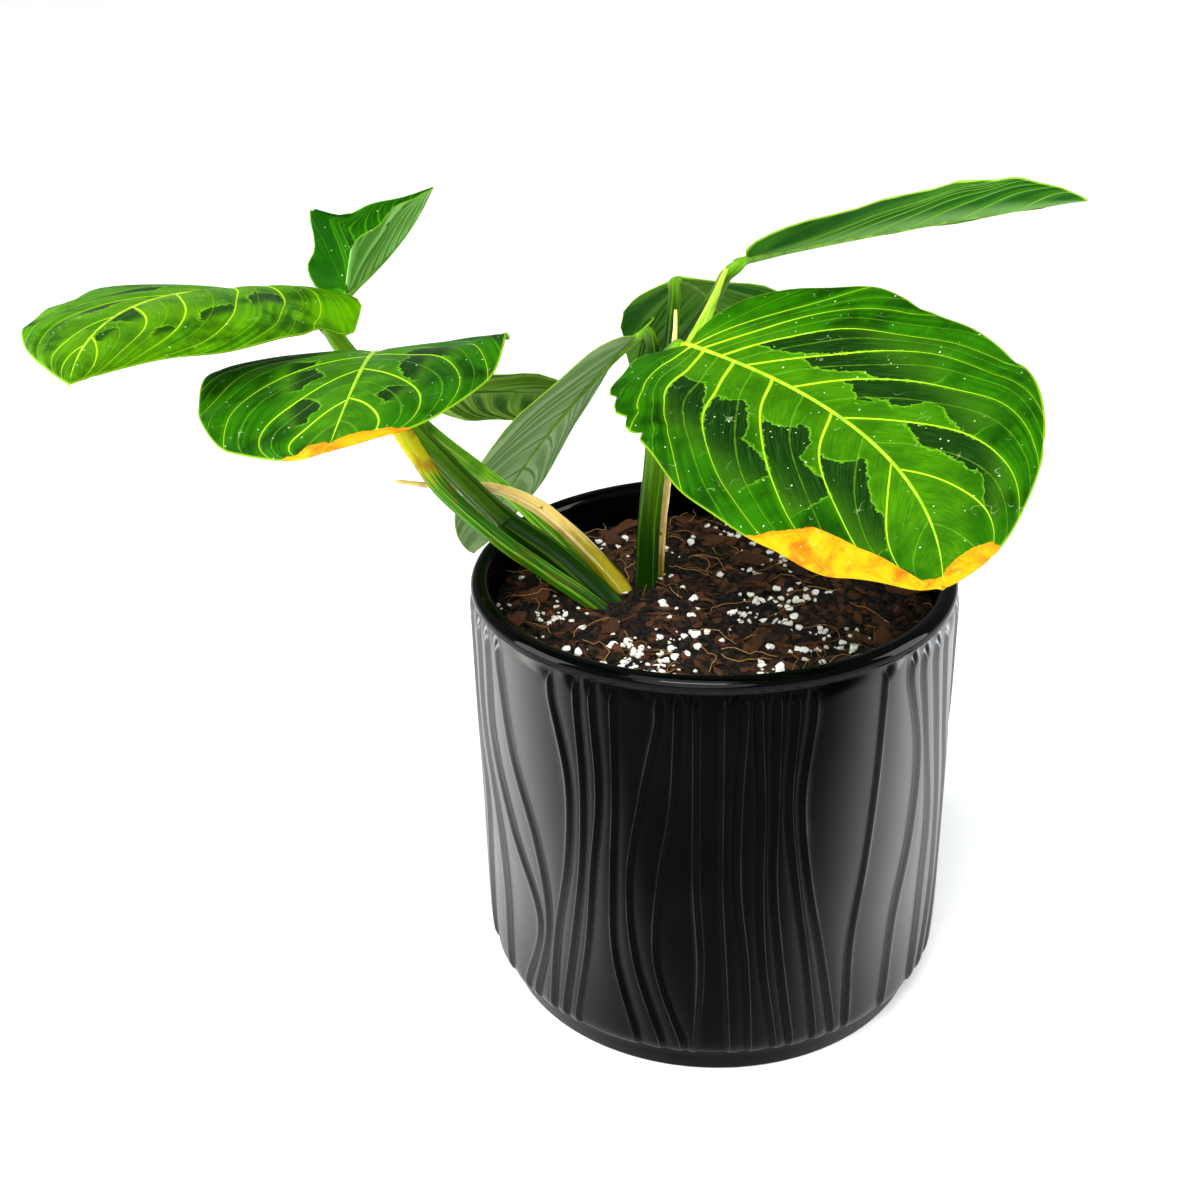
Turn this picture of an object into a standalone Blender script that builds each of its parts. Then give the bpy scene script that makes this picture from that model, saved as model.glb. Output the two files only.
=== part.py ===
# A potted prayer plant: a black cylinder pot with flowing raised laps, filled with potting mix,
# two shoots with their petioles, old sheaths, a rolled new leaf and eight broad patterned leaves.
# Lengths in the tables are millimetres and angles are degrees. The origin is the middle of the
# pot's foot, +Z is up, and the front of the pot faces -Y.
import math
import random

import bpy
import numpy as np
from mathutils import Vector, noise

MM = 0.001
GAP = 0.35               # clearance between neighbouring solids
BLADE_THICKNESS = 0.7

# Pot, a 127 mm (5 inch) cylinder
POT_RADIUS = 63.5
POT_HEIGHT = 119.1
WALL = 5.0
FLOOR = 8.0
FOOT_RADIUS = 58.7
FOOT_HEIGHT = 7.6
STEP_RADIUS = 61.4
BODY_RADIUS = 63.1
ROUND_TOP = 33.0         # height where the wall starts to turn in towards the foot
LAP_DEPTH = 1.1
LAP_STEP = 0.55          # half the angle that a lap's edge takes
COLLAR_BOTTOM = 110.5
RING_SIDES = 64

# Potting mix
MIX_LEVEL = 109.0
MIX_LUMPS = 1.3
GRAINS = 46
CHIPS = 16

# Lap edges round the front of the pot: their angle from the front, towards +X, at these heights
LAP_HEIGHTS = (108, 85, 62, 38, 12)
LAP_EDGES = (
    (-76, -76, -70, -72, -74), (-68, -68, -62, -59, -60), (-62, -62, -54, -44, -51),
    (-56, -52, -44, -41, -47), (-37, -33, -34, -38, -41), (-30, -29, -30, -33, -37),
    (-26, -25, -27, -29, -33), (-21, -21, -22, -22, -17), (-11, -15, -18, -17, -11),
    (-7, -8, -11, -12, -6), (-3, -3, -3, -2, -3), (2, 2, 2, 3, 4), (7, 6, 6, 8, 9),
    (10, 11, 11, 12, 15), (14, 14, 14, 16, 19), (18, 17, 19, 22, 25), (22, 20, 22, 26, 30),
    (40, 39, 37, 34, 34), (49, 54, 53, 48, 46), (54, 58, 62, 61, 59), (60, 64, 68, 69, 64),
    (66, 70, 76, 76, 70),
)
BACK_START = 76.0
BACK_END = 278.0
BACK_GAPS = (12, 5, 4, 15, 5, 9, 4, 18, 6, 5)
BACK_WANDER = 5.0

# Leaf blades. heading and climb are the midrib's compass angle and slope at its base, and how far
# each turns by the tip; fold and curl are a half's angle to the midrib and its bend to the margin;
# lobe is how far a half reaches behind the base; a bump is (place along the midrib, spread, rise of
# the margin, extra width).
LEAVES = {
    "front_right": {
        "base": (-6.5, -1, 179), "length": 130.5, "heading": (-36.5, -61), "climb": (-5, 0.5),
        "roll": (6, 12.5), "widest": 0.28, "roundness": (2.25, 1.95, 1.28), "wave": (5, 0.7),
        "left": {"width": 39.5, "fold": (17, -9.5), "curl": (-3, -10), "lobe": 1.5,
                 "bumps": [(0.3, 0.15, 2.5, -3), (0.6, 0.15, 3.5, 0.5), (0.85, 0.1, -2, -2)]},
        "right": {"width": 41.5, "fold": (7, -25), "curl": (-4, -13), "lobe": 6,
                  "bumps": [(0.06, 0.08, -1.5, 3), (0.25, 0.15, 3.5, -0.5), (0.6, 0.15, 0.5, -1.5),
                            (0.88, 0.1, 2.5, -0.5)]},
    },
    "mid_left": {
        "base": (-84.5, 3, 176), "length": 108, "heading": (-79.5, -7.5), "climb": (19.5, -24),
        "roll": (0.5, 10.5), "widest": 0.48, "roundness": (2.15, 1.9, 1.2), "wave": (4, 0.6),
        "left": {"width": 35.5, "fold": (3.5, -4), "curl": (-16.5, -6), "lobe": 4,
                 "bumps": [(0.04, 0.06, 1, 0.5), (0.2, 0.12, 3, 0), (0.5, 0.2, 7.5, -2.5)]},
        "right": {"width": 37, "fold": (10, -20.5), "curl": (-4, -13.5), "lobe": 5,
                  "bumps": [(0.1, 0.1, -3, -1.5), (0.35, 0.15, 0.5, 1.5)]},
    },
    "far_left": {
        "base": (-119, 17.5, 188), "length": 113.5, "heading": (-111.5, 37.5), "climb": (17, -22),
        "roll": (5, -5), "widest": 0.13, "roundness": (2.5, 1.35, 0.98), "wave": (4, 0.6),
        "left": {"width": 39, "fold": (11.5, -22.5), "curl": (-27.5, -8.5), "lobe": 4,
                 "bumps": [(0.05, 0.06, 1.5, -1.5), (0.2, 0.12, -5.5, 0.5), (0.5, 0.2, 1, 9)]},
        "right": {"width": 36.5, "fold": (9, -13), "curl": (-12.5, -18), "lobe": -5.5,
                  "bumps": [(0.6, 0.2, 1.5, 1.5)]},
    },
    "upper_left": {
        "base": (-94, 15, 188), "length": 41, "heading": (37, 39.5), "climb": (29.5, 2),
        "roll": (0, -10), "widest": 0.37, "roundness": (2.75, 0.7, 1.14), "wave": (3, 0.5),
        "left": {"width": 26.5, "fold": (48, -15.5), "curl": (7.5, -13), "lobe": 5,
                 "bumps": [(0.15, 0.15, -4.5, -5.5), (0.45, 0.15, -3.5, -0.5)]},
        "right": {"width": 25.5, "fold": (51, -5.5), "curl": (13, -4.5), "lobe": -4,
                  "bumps": [(0.25, 0.2, -4.5, -1.5)]},
    },
    "top_right": {
        "base": (8.6, 14.1, 196.7), "length": 110.4, "heading": (32, -1.5), "climb": (2, -3),
        "roll": (2, -5), "widest": 0.42, "roundness": (1.85, 1.55, 1.04), "wave": (5, 0.5),
        "left": {"width": 21, "fold": (-14, 0), "curl": (-8, 0), "lobe": 4, "bumps": []},
        "right": {"width": 22.5, "fold": (37, 4.5), "curl": (0, 0), "lobe": 8,
                  "bumps": [(0.1, 0.1, 2, -2.5), (0.7, 0.2, 1, -0.5)]},
    },
    "hanging": {
        "base": (-20.3, 32.4, 171.4), "length": 100.4, "heading": (155.5, -12.5), "climb": (-44, -15),
        "roll": (17, 4), "widest": 0.42, "roundness": (2.25, 1.85, 1.2), "wave": (4, 0.4),
        "left": {"width": 27.3, "fold": (-0.5, -16), "curl": (0, 0), "lobe": 2.5,
                 "bumps": [(0.2, 0.15, -2.5, -1), (0.5, 0.2, -3.5, 0)]},
        "right": {"width": 26.8, "fold": (25.5, -11.5), "curl": (0, 0), "lobe": 4,
                  "bumps": [(0.2, 0.15, 2.5, -0.5), (0.5, 0.2, 3, -2)]},
    },
    "back": {
        "base": (-9.2, 39.6, 184.9), "length": 94.4, "heading": (71.5, -6), "climb": (-17, -60),
        "roll": (3.5, 2), "widest": 0.45, "roundness": (1.95, 1.9, 1.14), "wave": (5, 1.2),
        "left": {"width": 34.7, "fold": (-30.5, 0), "curl": (0, 0), "lobe": 2.5,
                 "bumps": [(0.3, 0.25, 1, -4.5)]},
        "right": {"width": 35.7, "fold": (0, -1.5), "curl": (0, 0), "lobe": 4.5,
                  "bumps": [(0.3, 0.25, 2.5, 0)]},
    },
    "behind_left": {
        "base": (-86, 30, 154), "length": 73, "heading": (47, 4.5), "climb": (-4.5, -20),
        "roll": (-37.5, 0), "widest": 0.49, "roundness": (2.05, 2.1, 1.2), "wave": (3, 0.6),
        "left": {"width": 20, "fold": (21, -36.5), "curl": (0, 0), "lobe": 3.7, "bumps": []},
        "right": {"width": 20, "fold": (0, -29.5), "curl": (0, 0), "lobe": 4, "bumps": []},
    },
}
BLADE_ROWS = 17
BLADE_COLUMNS = (0.0, 0.34, 0.7, 1.0)    # from the midrib to the margin
STALK_HALF_WIDTH = 0.9                   # half width of the blade where it meets its petiole

# Stems: the points that each passes through and its radius at the first and last of them
STEM_PATHS = {
    "left": ([(-20, -2, 99), (-28, 0, 108), (-34, 1.5, 114), (-43, 3.5, 121.5), (-56, 4.5, 131),
              (-68, 6, 143), (-79, 8, 155), (-87, 10.5, 165), (-93, 12.5, 171), (-97, 14, 176),
              (-99, 15, 179.5)], 3.4, 2.3),
    "centre": ([(-18.5, 8, 99), (-17.8, 8.5, 108), (-17, 8.3, 125), (-15, 8, 145), (-14, 8.5, 160),
                (-13, 9.5, 171)], 3.3, 2.6),
}
# Petioles: the shoot that each grows from, its points before the blade's base, and its radii
PETIOLES = {
    "mid_left": ("left", [(-79, 8, 155), (-84.5, 9.5, 163), (-87, 8.6, 170)], 1.9, 1.2),
    "far_left": ("left", [(-97.5, 14.5, 176.5), (-103, 20, 179.5), (-111.5, 25, 183)], 2.0, 1.2),
    "upper_left": ("left", [(-97, 14, 175), (-98.3, 17, 180)], 1.8, 0.9),
    "front_right": ("centre", [(-13.6, 9, 164), (-12.5, 6, 172)], 2.3, 1.25),
    "top_right": ("centre", [(-13.6, 9, 164), (-9, 12, 173), (-3.5, 14.4, 181), (0.8, 15, 187.5),
                             (3, 14.2, 192)], 2.3, 1.2),
    "hanging": ("centre", [(-14, 8.5, 161), (-14.8, 13, 169), (-15.8, 21, 172)], 2.1, 1.2),
    "back": ("centre", [(-13.6, 9, 164), (-11.5, 14.5, 171), (-10.6, 22, 178),
                        (-10.2, 31, 183.2)], 2.2, 1.25),
    "behind_left": ("left", [(-70, 6.5, 145), (-79, 9.5, 151), (-87, 15, 154.5),
                             (-91, 21, 154.8)], 1.8, 1.2),
}
# Sheaths: points, radii at the ends, and how flat each is
SHEATHS = {
    "sheath_lower": ([(-23, -8, 100), (-29, -6.2, 108.5), (-43, -3.4, 118), (-56, -2.2, 127.5),
                      (-69, -0.6, 139.5), (-76, 1.6, 149), (-80.5, 4, 156)], 2.2, 2.6, 0.55),
    "sheath_winged": ([(-31.5, 11.5, 100), (-33, 11.2, 108.5), (-38, 11, 117), (-46, 12, 125.5),
                       (-57, 13, 136), (-68, 13.4, 145), (-77, 13.6, 153)], 1.6, 2.4, 0.32),
    "sheath_dry_left": ([(-23.6, 5, 100), (-24.4, 5.2, 108.5), (-30, 7.6, 115.5), (-38, 8.8, 124),
                         (-46, 9.4, 131), (-56, 9.8, 136), (-64, 10, 137), (-72, 9.9, 137),
                         (-84, 8.6, 139)], 2.4, 0.6, 0.42),
    "sheath_dry_centre": ([(-14.6, 13, 100), (-14.6, 13.4, 108.5), (-13.4, 13.4, 126), (-12, 13.4, 138),
                           (-10.6, 13.4, 150)], 1.7, 1.0, 0.45),
    "sheath_tip": ([(-9.9, 7.6, 173.2), (-9.6, 8.4, 178), (-9.4, 8.9, 185)], 0.9, 0.4, 0.6),
    "new_leaf": ([(-5.2, 9.4, 175), (-3.2, 9.9, 179.5), (0, 10.2, 187), (3.2, 10.2, 195)], 2.4, 0.5, 0.6),
}
STANDING_SHEATHS = ("sheath_lower", "sheath_winged", "sheath_dry_left", "sheath_dry_centre")
BORE_MARGIN = 0.4        # how much wider the plain hole in the mix is than what stands in it

COLOURS = {
    "pot_ceramic": ((0.012, 0.012, 0.014), 0.38),
    "potting_mix": ((0.05, 0.026, 0.015), 0.95),
    "leaf_green": ((0.05, 0.2, 0.015), 0.45),
    "leaf_underside": ((0.22, 0.34, 0.16), 0.55),
    "stem_green": ((0.07, 0.2, 0.015), 0.4),
    "sheath_green": ((0.18, 0.34, 0.04), 0.45),
    "sheath_tan": ((0.55, 0.34, 0.12), 0.6),
    "new_leaf": ((0.5, 0.66, 0.12), 0.4),
}
UNDERSIDE_LEAVES = ("top_right", "hanging", "back", "behind_left")


def clear_scene():
    for item in list(bpy.data.objects):
        bpy.data.objects.remove(item, do_unlink=True)


def make_material(name):
    colour, roughness = COLOURS[name]
    material = bpy.data.materials.new(name)
    material.use_nodes = True
    shader = material.node_tree.nodes["Principled BSDF"]
    shader.inputs["Base Color"].default_value = (*colour, 1.0)
    shader.inputs["Roughness"].default_value = roughness
    shader.inputs["Metallic"].default_value = 0.0
    material.diffuse_color = (*colour, 1.0)
    return material


def make_object(name, points, faces, material=None, smooth=True):
    mesh = bpy.data.meshes.new(name)
    mesh.from_pydata([[c * MM for c in point] for point in points], [], faces)
    mesh.validate()
    if smooth:
        mesh.shade_smooth()
        mesh.set_sharp_from_angle(angle=math.radians(40))
    piece = bpy.data.objects.new(name, mesh)
    bpy.context.scene.collection.objects.link(piece)
    if material:
        mesh.materials.append(material)
    return piece


def blend_between(value, start, end):
    """Smooth step from 0 at start to 1 at end."""
    t = min(1.0, max(0.0, (value - start) / (end - start)))
    return t * t * (3 - 2 * t)


# Pot

def lap_edges_at(height):
    """Angles of every lap edge at a height, in order round the pot."""
    levels = LAP_HEIGHTS[::-1]
    edges = [float(np.interp(height, levels, row[::-1])) for row in LAP_EDGES]
    start = edges[-1]
    end = edges[0] + 360.0
    gaps = []
    while sum(gaps) < BACK_END - BACK_START:
        gaps.append(BACK_GAPS[len(gaps) % len(BACK_GAPS)])
    scale = (end - start) / sum(gaps)
    for number in range(1, len(gaps)):
        share = sum(gaps[:number]) / sum(gaps)
        fade = math.sin(math.pi * share)
        phase = 0.3 * number + 2 * math.pi * height / POT_HEIGHT
        edges.append(start + sum(gaps[:number]) * scale + BACK_WANDER * fade * math.sin(phase))
    return edges


def lap_columns(height):
    """Angle and relief of each column of the wall: just after an edge, mid lap, before the next."""
    edges = lap_edges_at(height)
    strength = LAP_DEPTH * (1 - blend_between(height, 100.0, COLLAR_BOTTOM))
    columns = []
    for number, edge in enumerate(edges):
        following = edges[(number + 1) % len(edges)] + (360.0 if number == len(edges) - 1 else 0.0)
        rises_before = edge < 0 or edge > 180
        rises_after = following < 0 or following > 180
        low = 0.0 if rises_before else 1.0
        high = 1.0 if rises_after else 0.0
        middle = 0.5 * (low + high) + 0.22
        step = min(LAP_STEP, (following - edge) * 0.3)
        columns.append((edge + step, low * strength))
        columns.append((0.5 * (edge + following), middle * strength))
        columns.append((following - step, high * strength))
    return columns


def wall_radius(height):
    """The wall's radius under its laps, turning in towards the foot."""
    low = FOOT_HEIGHT + 1.0
    u = min(1.0, max(0.0, (ROUND_TOP - height) / (ROUND_TOP - low)))
    return STEP_RADIUS + (BODY_RADIUS - STEP_RADIUS) * (1 - u ** 3.5) ** (1 / 3.5)


def ring(radius, height, sides, start_angle=-76.0):
    turns = [math.radians(start_angle + 360.0 * k / sides) for k in range(sides)]
    return [(radius * math.sin(a), -radius * math.cos(a), height) for a in turns]


def lap_ring(height):
    points = []
    for angle, relief in lap_columns(height):
        radius = wall_radius(height) + relief
        a = math.radians(angle)
        points.append((radius * math.sin(a), -radius * math.cos(a), height))
    return points


def bridge_rings(points, lower, upper):
    """Triangles between two closed rings of any two counts, matched by their angle."""
    def turn(index):
        x, y, _ = points[index]
        return math.degrees(math.atan2(x, -y)) % 360.0

    def unwrapped(loop):
        angles = [turn(index) for index in loop]
        for k in range(1, len(angles)):
            while angles[k] < angles[k - 1] - 1e-6:
                angles[k] += 360.0
        return angles

    a, b = unwrapped(lower), unwrapped(upper)
    shift = min(range(len(upper)), key=lambda k: abs((b[k] - a[0] + 180) % 360 - 180))
    upper = upper[shift:] + upper[:shift]
    b = unwrapped(upper)
    offset = round((a[0] - b[0]) / 360.0) * 360.0
    b = [value + offset for value in b]
    faces = []
    i = j = 0
    while i < len(lower) or j < len(upper):
        next_a = a[i + 1] if i + 1 < len(lower) else a[0] + 360.0
        next_b = b[j + 1] if j + 1 < len(upper) else b[0] + 360.0
        if j >= len(upper) or (i < len(lower) and next_a <= next_b):
            faces.append((lower[i % len(lower)], lower[(i + 1) % len(lower)], upper[j % len(upper)]))
            i += 1
        else:
            faces.append((lower[i % len(lower)], upper[(j + 1) % len(upper)], upper[j % len(upper)]))
            j += 1
    return faces


def build_pot(material):
    inner = POT_RADIUS - WALL
    rings = [ring(FOOT_RADIUS - 0.7, 0.0, RING_SIDES), ring(FOOT_RADIUS, 0.8, RING_SIDES),
             ring(FOOT_RADIUS + 1.3, FOOT_HEIGHT, RING_SIDES)]
    for height in (FOOT_HEIGHT + 1.0, 10.5, 15, 24, 36, 50, 64, 78, 92, 102, 107, COLLAR_BOTTOM):
        rings.append(lap_ring(height))
    for radius, height in ((POT_RADIUS - 0.1, POT_HEIGHT - 6.5), (POT_RADIUS, POT_HEIGHT - 1.8),
                           (POT_RADIUS - 0.7, POT_HEIGHT - 0.5), (POT_RADIUS - 2.0, POT_HEIGHT),
                           (inner + 1.6, POT_HEIGHT - 0.1), (inner + 0.4, POT_HEIGHT - 1.0),
                           (inner, POT_HEIGHT - 2.6), (inner, FLOOR + 5.0), (inner - 4.0, FLOOR)):
        rings.append(ring(radius, height, RING_SIDES))
    points = []
    loops = []
    for circle in rings:
        loops.append(list(range(len(points), len(points) + len(circle))))
        points.extend(circle)
    faces = []
    for lower, upper in zip(loops, loops[1:]):
        if len(lower) == len(upper):
            count = len(lower)
            for k in range(count):
                n = (k + 1) % count
                faces.append((lower[k], lower[n], upper[n], upper[k]))
        else:
            faces.extend(bridge_rings(points, lower, upper))
    faces.append(tuple(reversed(loops[0])))
    faces.append(tuple(loops[-1]))
    return make_object("pot", points, faces, material)


# Stems and sheaths

def smooth_path(points, per_span):
    """A smooth curve through the points."""
    knots = [np.array(point, float) for point in points]
    knots = [2 * knots[0] - knots[1]] + knots + [2 * knots[-1] - knots[-2]]
    path = []
    for k in range(1, len(knots) - 2):
        a, b, c, d = knots[k - 1:k + 3]
        for step in range(per_span):
            t = step / per_span
            path.append(0.5 * (2 * b + (c - a) * t + (2 * a - 5 * b + 4 * c - d) * t ** 2
                               + (3 * b - a - 3 * c + d) * t ** 3))
    path.append(knots[-2])
    return path


def sweep(name, path, radii, flatness=1.0, sides=8, material=None):
    """A closed round or flattened tube along a path; flatness is its thickness over its width."""
    points = []
    for k, place in enumerate(path):
        ahead = path[min(k + 1, len(path) - 1)] - path[max(k - 1, 0)]
        ahead = ahead / np.linalg.norm(ahead)
        across = np.cross(ahead, (0.0, 1.0, 0.0))
        across = across / np.linalg.norm(across)
        depth = np.cross(across, ahead)
        for side in range(sides):
            a = 2 * math.pi * (side + 0.5) / sides
            points.append(place + radii[k] * (math.cos(a) * across + flatness * math.sin(a) * depth))
    faces = []
    for k in range(len(path) - 1):
        for side in range(sides):
            n = (side + 1) % sides
            faces.append((k * sides + side, k * sides + n, (k + 1) * sides + n, (k + 1) * sides + side))
    last = (len(path) - 1) * sides
    faces.append(tuple(reversed(range(sides))))
    faces.append(tuple(range(last, last + sides)))
    return fix_facing(make_object(name, points, faces, material))


def fix_facing(piece):
    """Turns the faces outward where the closed body's volume comes out negative."""
    mesh = piece.data
    volume = 0.0
    for face in mesh.polygons:
        corners = [mesh.vertices[index].co for index in face.vertices]
        for k in range(1, len(corners) - 1):
            volume += corners[0].dot(corners[k].cross(corners[k + 1]))
    if volume < 0:
        mesh.flip_normals()
    return piece


def tapered(count, first, last, swell=0.0):
    """Radii along a stem, with a swell near its lower end."""
    return [first + (last - first) * k / (count - 1) + swell * math.exp(-(6.0 * k / count) ** 2)
            for k in range(count)]


def gather(name, pieces):
    """Joins overlapping closed pieces into one solid, which keeps the first one's name."""
    group = bpy.data.collections.new(name + "_group")
    bpy.context.scene.collection.children.link(group)
    for piece in pieces[1:]:
        bpy.context.scene.collection.objects.unlink(piece)
        group.objects.link(piece)
    cut_with_group(pieces[0], group, "UNION")
    pieces[0].name = name
    return pieces[0]


def cut_with_group(piece, group, operation):
    """Applies one Boolean with a collection and removes the collection's objects."""
    boolean = piece.modifiers.new(operation.lower(), "BOOLEAN")
    boolean.operation = operation
    boolean.operand_type = "COLLECTION"
    boolean.collection = group
    boolean.solver = "EXACT"
    bpy.context.view_layer.update()
    graph = bpy.context.evaluated_depsgraph_get()
    result = bpy.data.meshes.new_from_object(piece.evaluated_get(graph))
    piece.modifiers.clear()
    piece.data = result
    for item in list(group.objects):
        bpy.data.objects.remove(item, do_unlink=True)
    bpy.data.collections.remove(group)


def build_shoot(name, shoot, material):
    path_points, first, last = STEM_PATHS[shoot]
    path = smooth_path(path_points, 2)
    pieces = [sweep(name, path, tapered(len(path), first, last, 0.5), material=material)]
    for leaf_name, (owner, points, first, last) in PETIOLES.items():
        if owner != shoot:
            continue
        base, ahead, _, up = midrib_frame(LEAVES[leaf_name], 0.0)
        points = points + [base - 3.4 * ahead - 1.7 * up, base - 1.2 * ahead - 0.6 * up]
        path = smooth_path(points, 2)
        pieces.append(sweep("petiole_" + leaf_name, path, tapered(len(path), first, last)))
    return gather(name, pieces)


def build_sheath(name, material):
    points, first, last, flatness = SHEATHS[name]
    path = smooth_path(points, 2)
    sides = 8 if flatness > 0.9 else 6
    return sweep(name, path, tapered(len(path), first, last), flatness, sides, material)


# Potting mix

def mix_height(x, y):
    lumps = noise.noise(Vector((x * 0.11, y * 0.11, 3.0)))
    lumps += 0.5 * noise.noise(Vector((x * 0.3, y * 0.3, 9.0)))
    edge = blend_between(math.hypot(x, y), 50.0, POT_RADIUS - WALL)
    return MIX_LEVEL + MIX_LUMPS * lumps * (1 - 0.6 * edge) - 0.6 * edge


def build_mix(material):
    radius = POT_RADIUS - WALL - GAP
    points = [(0.0, 0.0, mix_height(0.0, 0.0))]
    loops = []
    for share in (0.12, 0.26, 0.4, 0.54, 0.68, 0.8, 0.91, 1.0):
        loop = []
        for x, y, _ in ring(radius * share, 0.0, RING_SIDES):
            loop.append(len(points))
            points.append((x, y, mix_height(x, y)))
        loops.append(loop)
    for size, height in ((radius, FLOOR + 5.2), (radius - 4.0, FLOOR + GAP)):
        loops.append(list(range(len(points), len(points) + RING_SIDES)))
        points.extend(ring(size, height, RING_SIDES))
    faces = [(0, loops[0][k], loops[0][(k + 1) % RING_SIDES]) for k in range(RING_SIDES)]
    for inner, outer in zip(loops, loops[1:]):
        for k in range(RING_SIDES):
            n = (k + 1) % RING_SIDES
            faces.append((inner[k], outer[k], outer[n]))
            faces.append((inner[k], outer[n], inner[n]))
    faces.append(tuple(reversed(loops[-1])))
    mix = fix_facing(make_object("mix", points, faces, material))
    return gather("potting_mix", [mix] + mix_bits())


def clear_of_stems(x, y, reach):
    """True where a grain touches nothing that stands in the mix."""
    feet = [points[1] for points, _, _ in STEM_PATHS.values()]
    feet += [SHEATHS[name][0][1] for name in STANDING_SHEATHS]
    feet += [(-36, -1, 0), (-36, 4, 0), (-31, 7, 0)]
    return all(math.hypot(x - foot[0], y - foot[1]) > reach for foot in feet)


def mix_bits():
    """White grains and bark chips, half sunk in the mix."""
    draw = random.Random(11)
    bits = []
    while len(bits) < GRAINS + CHIPS:
        a = draw.uniform(0, 2 * math.pi)
        r = (POT_RADIUS - WALL - 5.5) * math.sqrt(draw.random())
        x, y = r * math.cos(a), r * math.sin(a)
        if not clear_of_stems(x, y, 8.5):
            continue
        grain = len(bits) < GRAINS
        size = draw.uniform(1.1, 2.2) if grain else draw.uniform(2.2, 3.4)
        stretch = (1.0, draw.uniform(0.7, 1.0), 0.9) if grain else (1.0, draw.uniform(0.4, 0.6), 0.45)
        turn = draw.uniform(0, math.pi)
        bits.append(lump((x, y, mix_height(x, y) + 0.25 * size * stretch[2]), size, stretch, turn, draw))
    return bits


def lump(place, size, stretch, turn, draw):
    """An eight-sided stone: a ring of four corners with a point above and below."""
    corners = [(math.cos(k * math.pi / 2), math.sin(k * math.pi / 2), 0.0) for k in range(4)]
    corners += [(0.0, 0.0, 1.0), (0.0, 0.0, -1.0)]
    points = []
    for corner in corners:
        reach = size * draw.uniform(0.85, 1.1)
        x, y, z = (reach * c * s for c, s in zip(corner, stretch))
        points.append((place[0] + x * math.cos(turn) - y * math.sin(turn),
                       place[1] + x * math.sin(turn) + y * math.cos(turn), place[2] + z))
    faces = [(k, (k + 1) % 4, 4) for k in range(4)] + [((k + 1) % 4, k, 5) for k in range(4)]
    return make_object("bit", points, faces)


def bore_mix(mix):
    """Plain holes in the mix for everything that stands in it."""
    group = bpy.data.collections.new("bores")
    bpy.context.scene.collection.children.link(group)
    standing = [(points, first, 1.0, 0.5, 8) for points, first, _ in STEM_PATHS.values()]
    for name in STANDING_SHEATHS:
        points, first, _, flatness = SHEATHS[name]
        standing.append((points, first, flatness, 0.0, 8 if flatness > 0.9 else 6))
    for points, first, flatness, swell, sides in standing:
        path = smooth_path(points, 2)[:7]
        path[0] = path[0] + (path[0] - path[1]) * 0.12
        widest = max(first + swell, 1.0) + BORE_MARGIN / max(flatness, 0.4)
        bore = sweep("bore", path, [widest + 0.15] * len(path), max(flatness, 0.4), sides)
        bore.hide_render = True
        bore.display_type = "WIRE"
        bpy.context.scene.collection.objects.unlink(bore)
        group.objects.link(bore)
    cut_with_group(mix, group, "DIFFERENCE")
    return mix


# Leaf blades

def midrib_points(leaf, steps=80):
    """Points along the midrib, stepped along its turning heading and slope."""
    share = (np.arange(steps) + 0.5) / steps
    heading = np.radians(leaf["heading"][0] + leaf["heading"][1] * share)
    climb = np.radians(leaf["climb"][0] + leaf["climb"][1] * share)
    ahead = np.stack([np.cos(climb) * np.cos(heading), np.cos(climb) * np.sin(heading), np.sin(climb)], -1)
    walked = np.concatenate([np.zeros((1, 3)), np.cumsum(ahead, 0)]) * leaf["length"] / steps
    return walked + np.array(leaf["base"])


def midrib_frame(leaf, s):
    """The midrib's place, its direction, the direction to its left and its upward normal at s."""
    points = midrib_points(leaf)
    place = np.array([np.interp(s, np.linspace(0, 1, len(points)), points[:, axis]) for axis in range(3)])
    heading = math.radians(leaf["heading"][0] + leaf["heading"][1] * s)
    climb = math.radians(leaf["climb"][0] + leaf["climb"][1] * s)
    roll = math.radians(leaf["roll"][0] + leaf["roll"][1] * s)
    level = math.cos(climb)
    ahead = np.array([level * math.cos(heading), level * math.sin(heading), math.sin(climb)])
    flat_left = np.array([-math.sin(heading), math.cos(heading), 0.0])
    flat_up = np.cross(ahead, flat_left)
    left = math.cos(roll) * flat_left + math.sin(roll) * flat_up
    up = math.cos(roll) * flat_up - math.sin(roll) * flat_left
    return place, ahead, left, up


def blade_width(leaf, s):
    """Share of the full half width at s: a round base, a widest place and a pointed tip."""
    base_round, tip_round, tip_point = leaf["roundness"]
    widest = leaf["widest"]
    if s < widest:
        return max(0.0, 1 - ((widest - s) / widest) ** base_round) ** (1 / base_round)
    return max(0.0, 1 - ((s - widest) / (1 - widest)) ** tip_round) ** (1 / tip_point)


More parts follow.
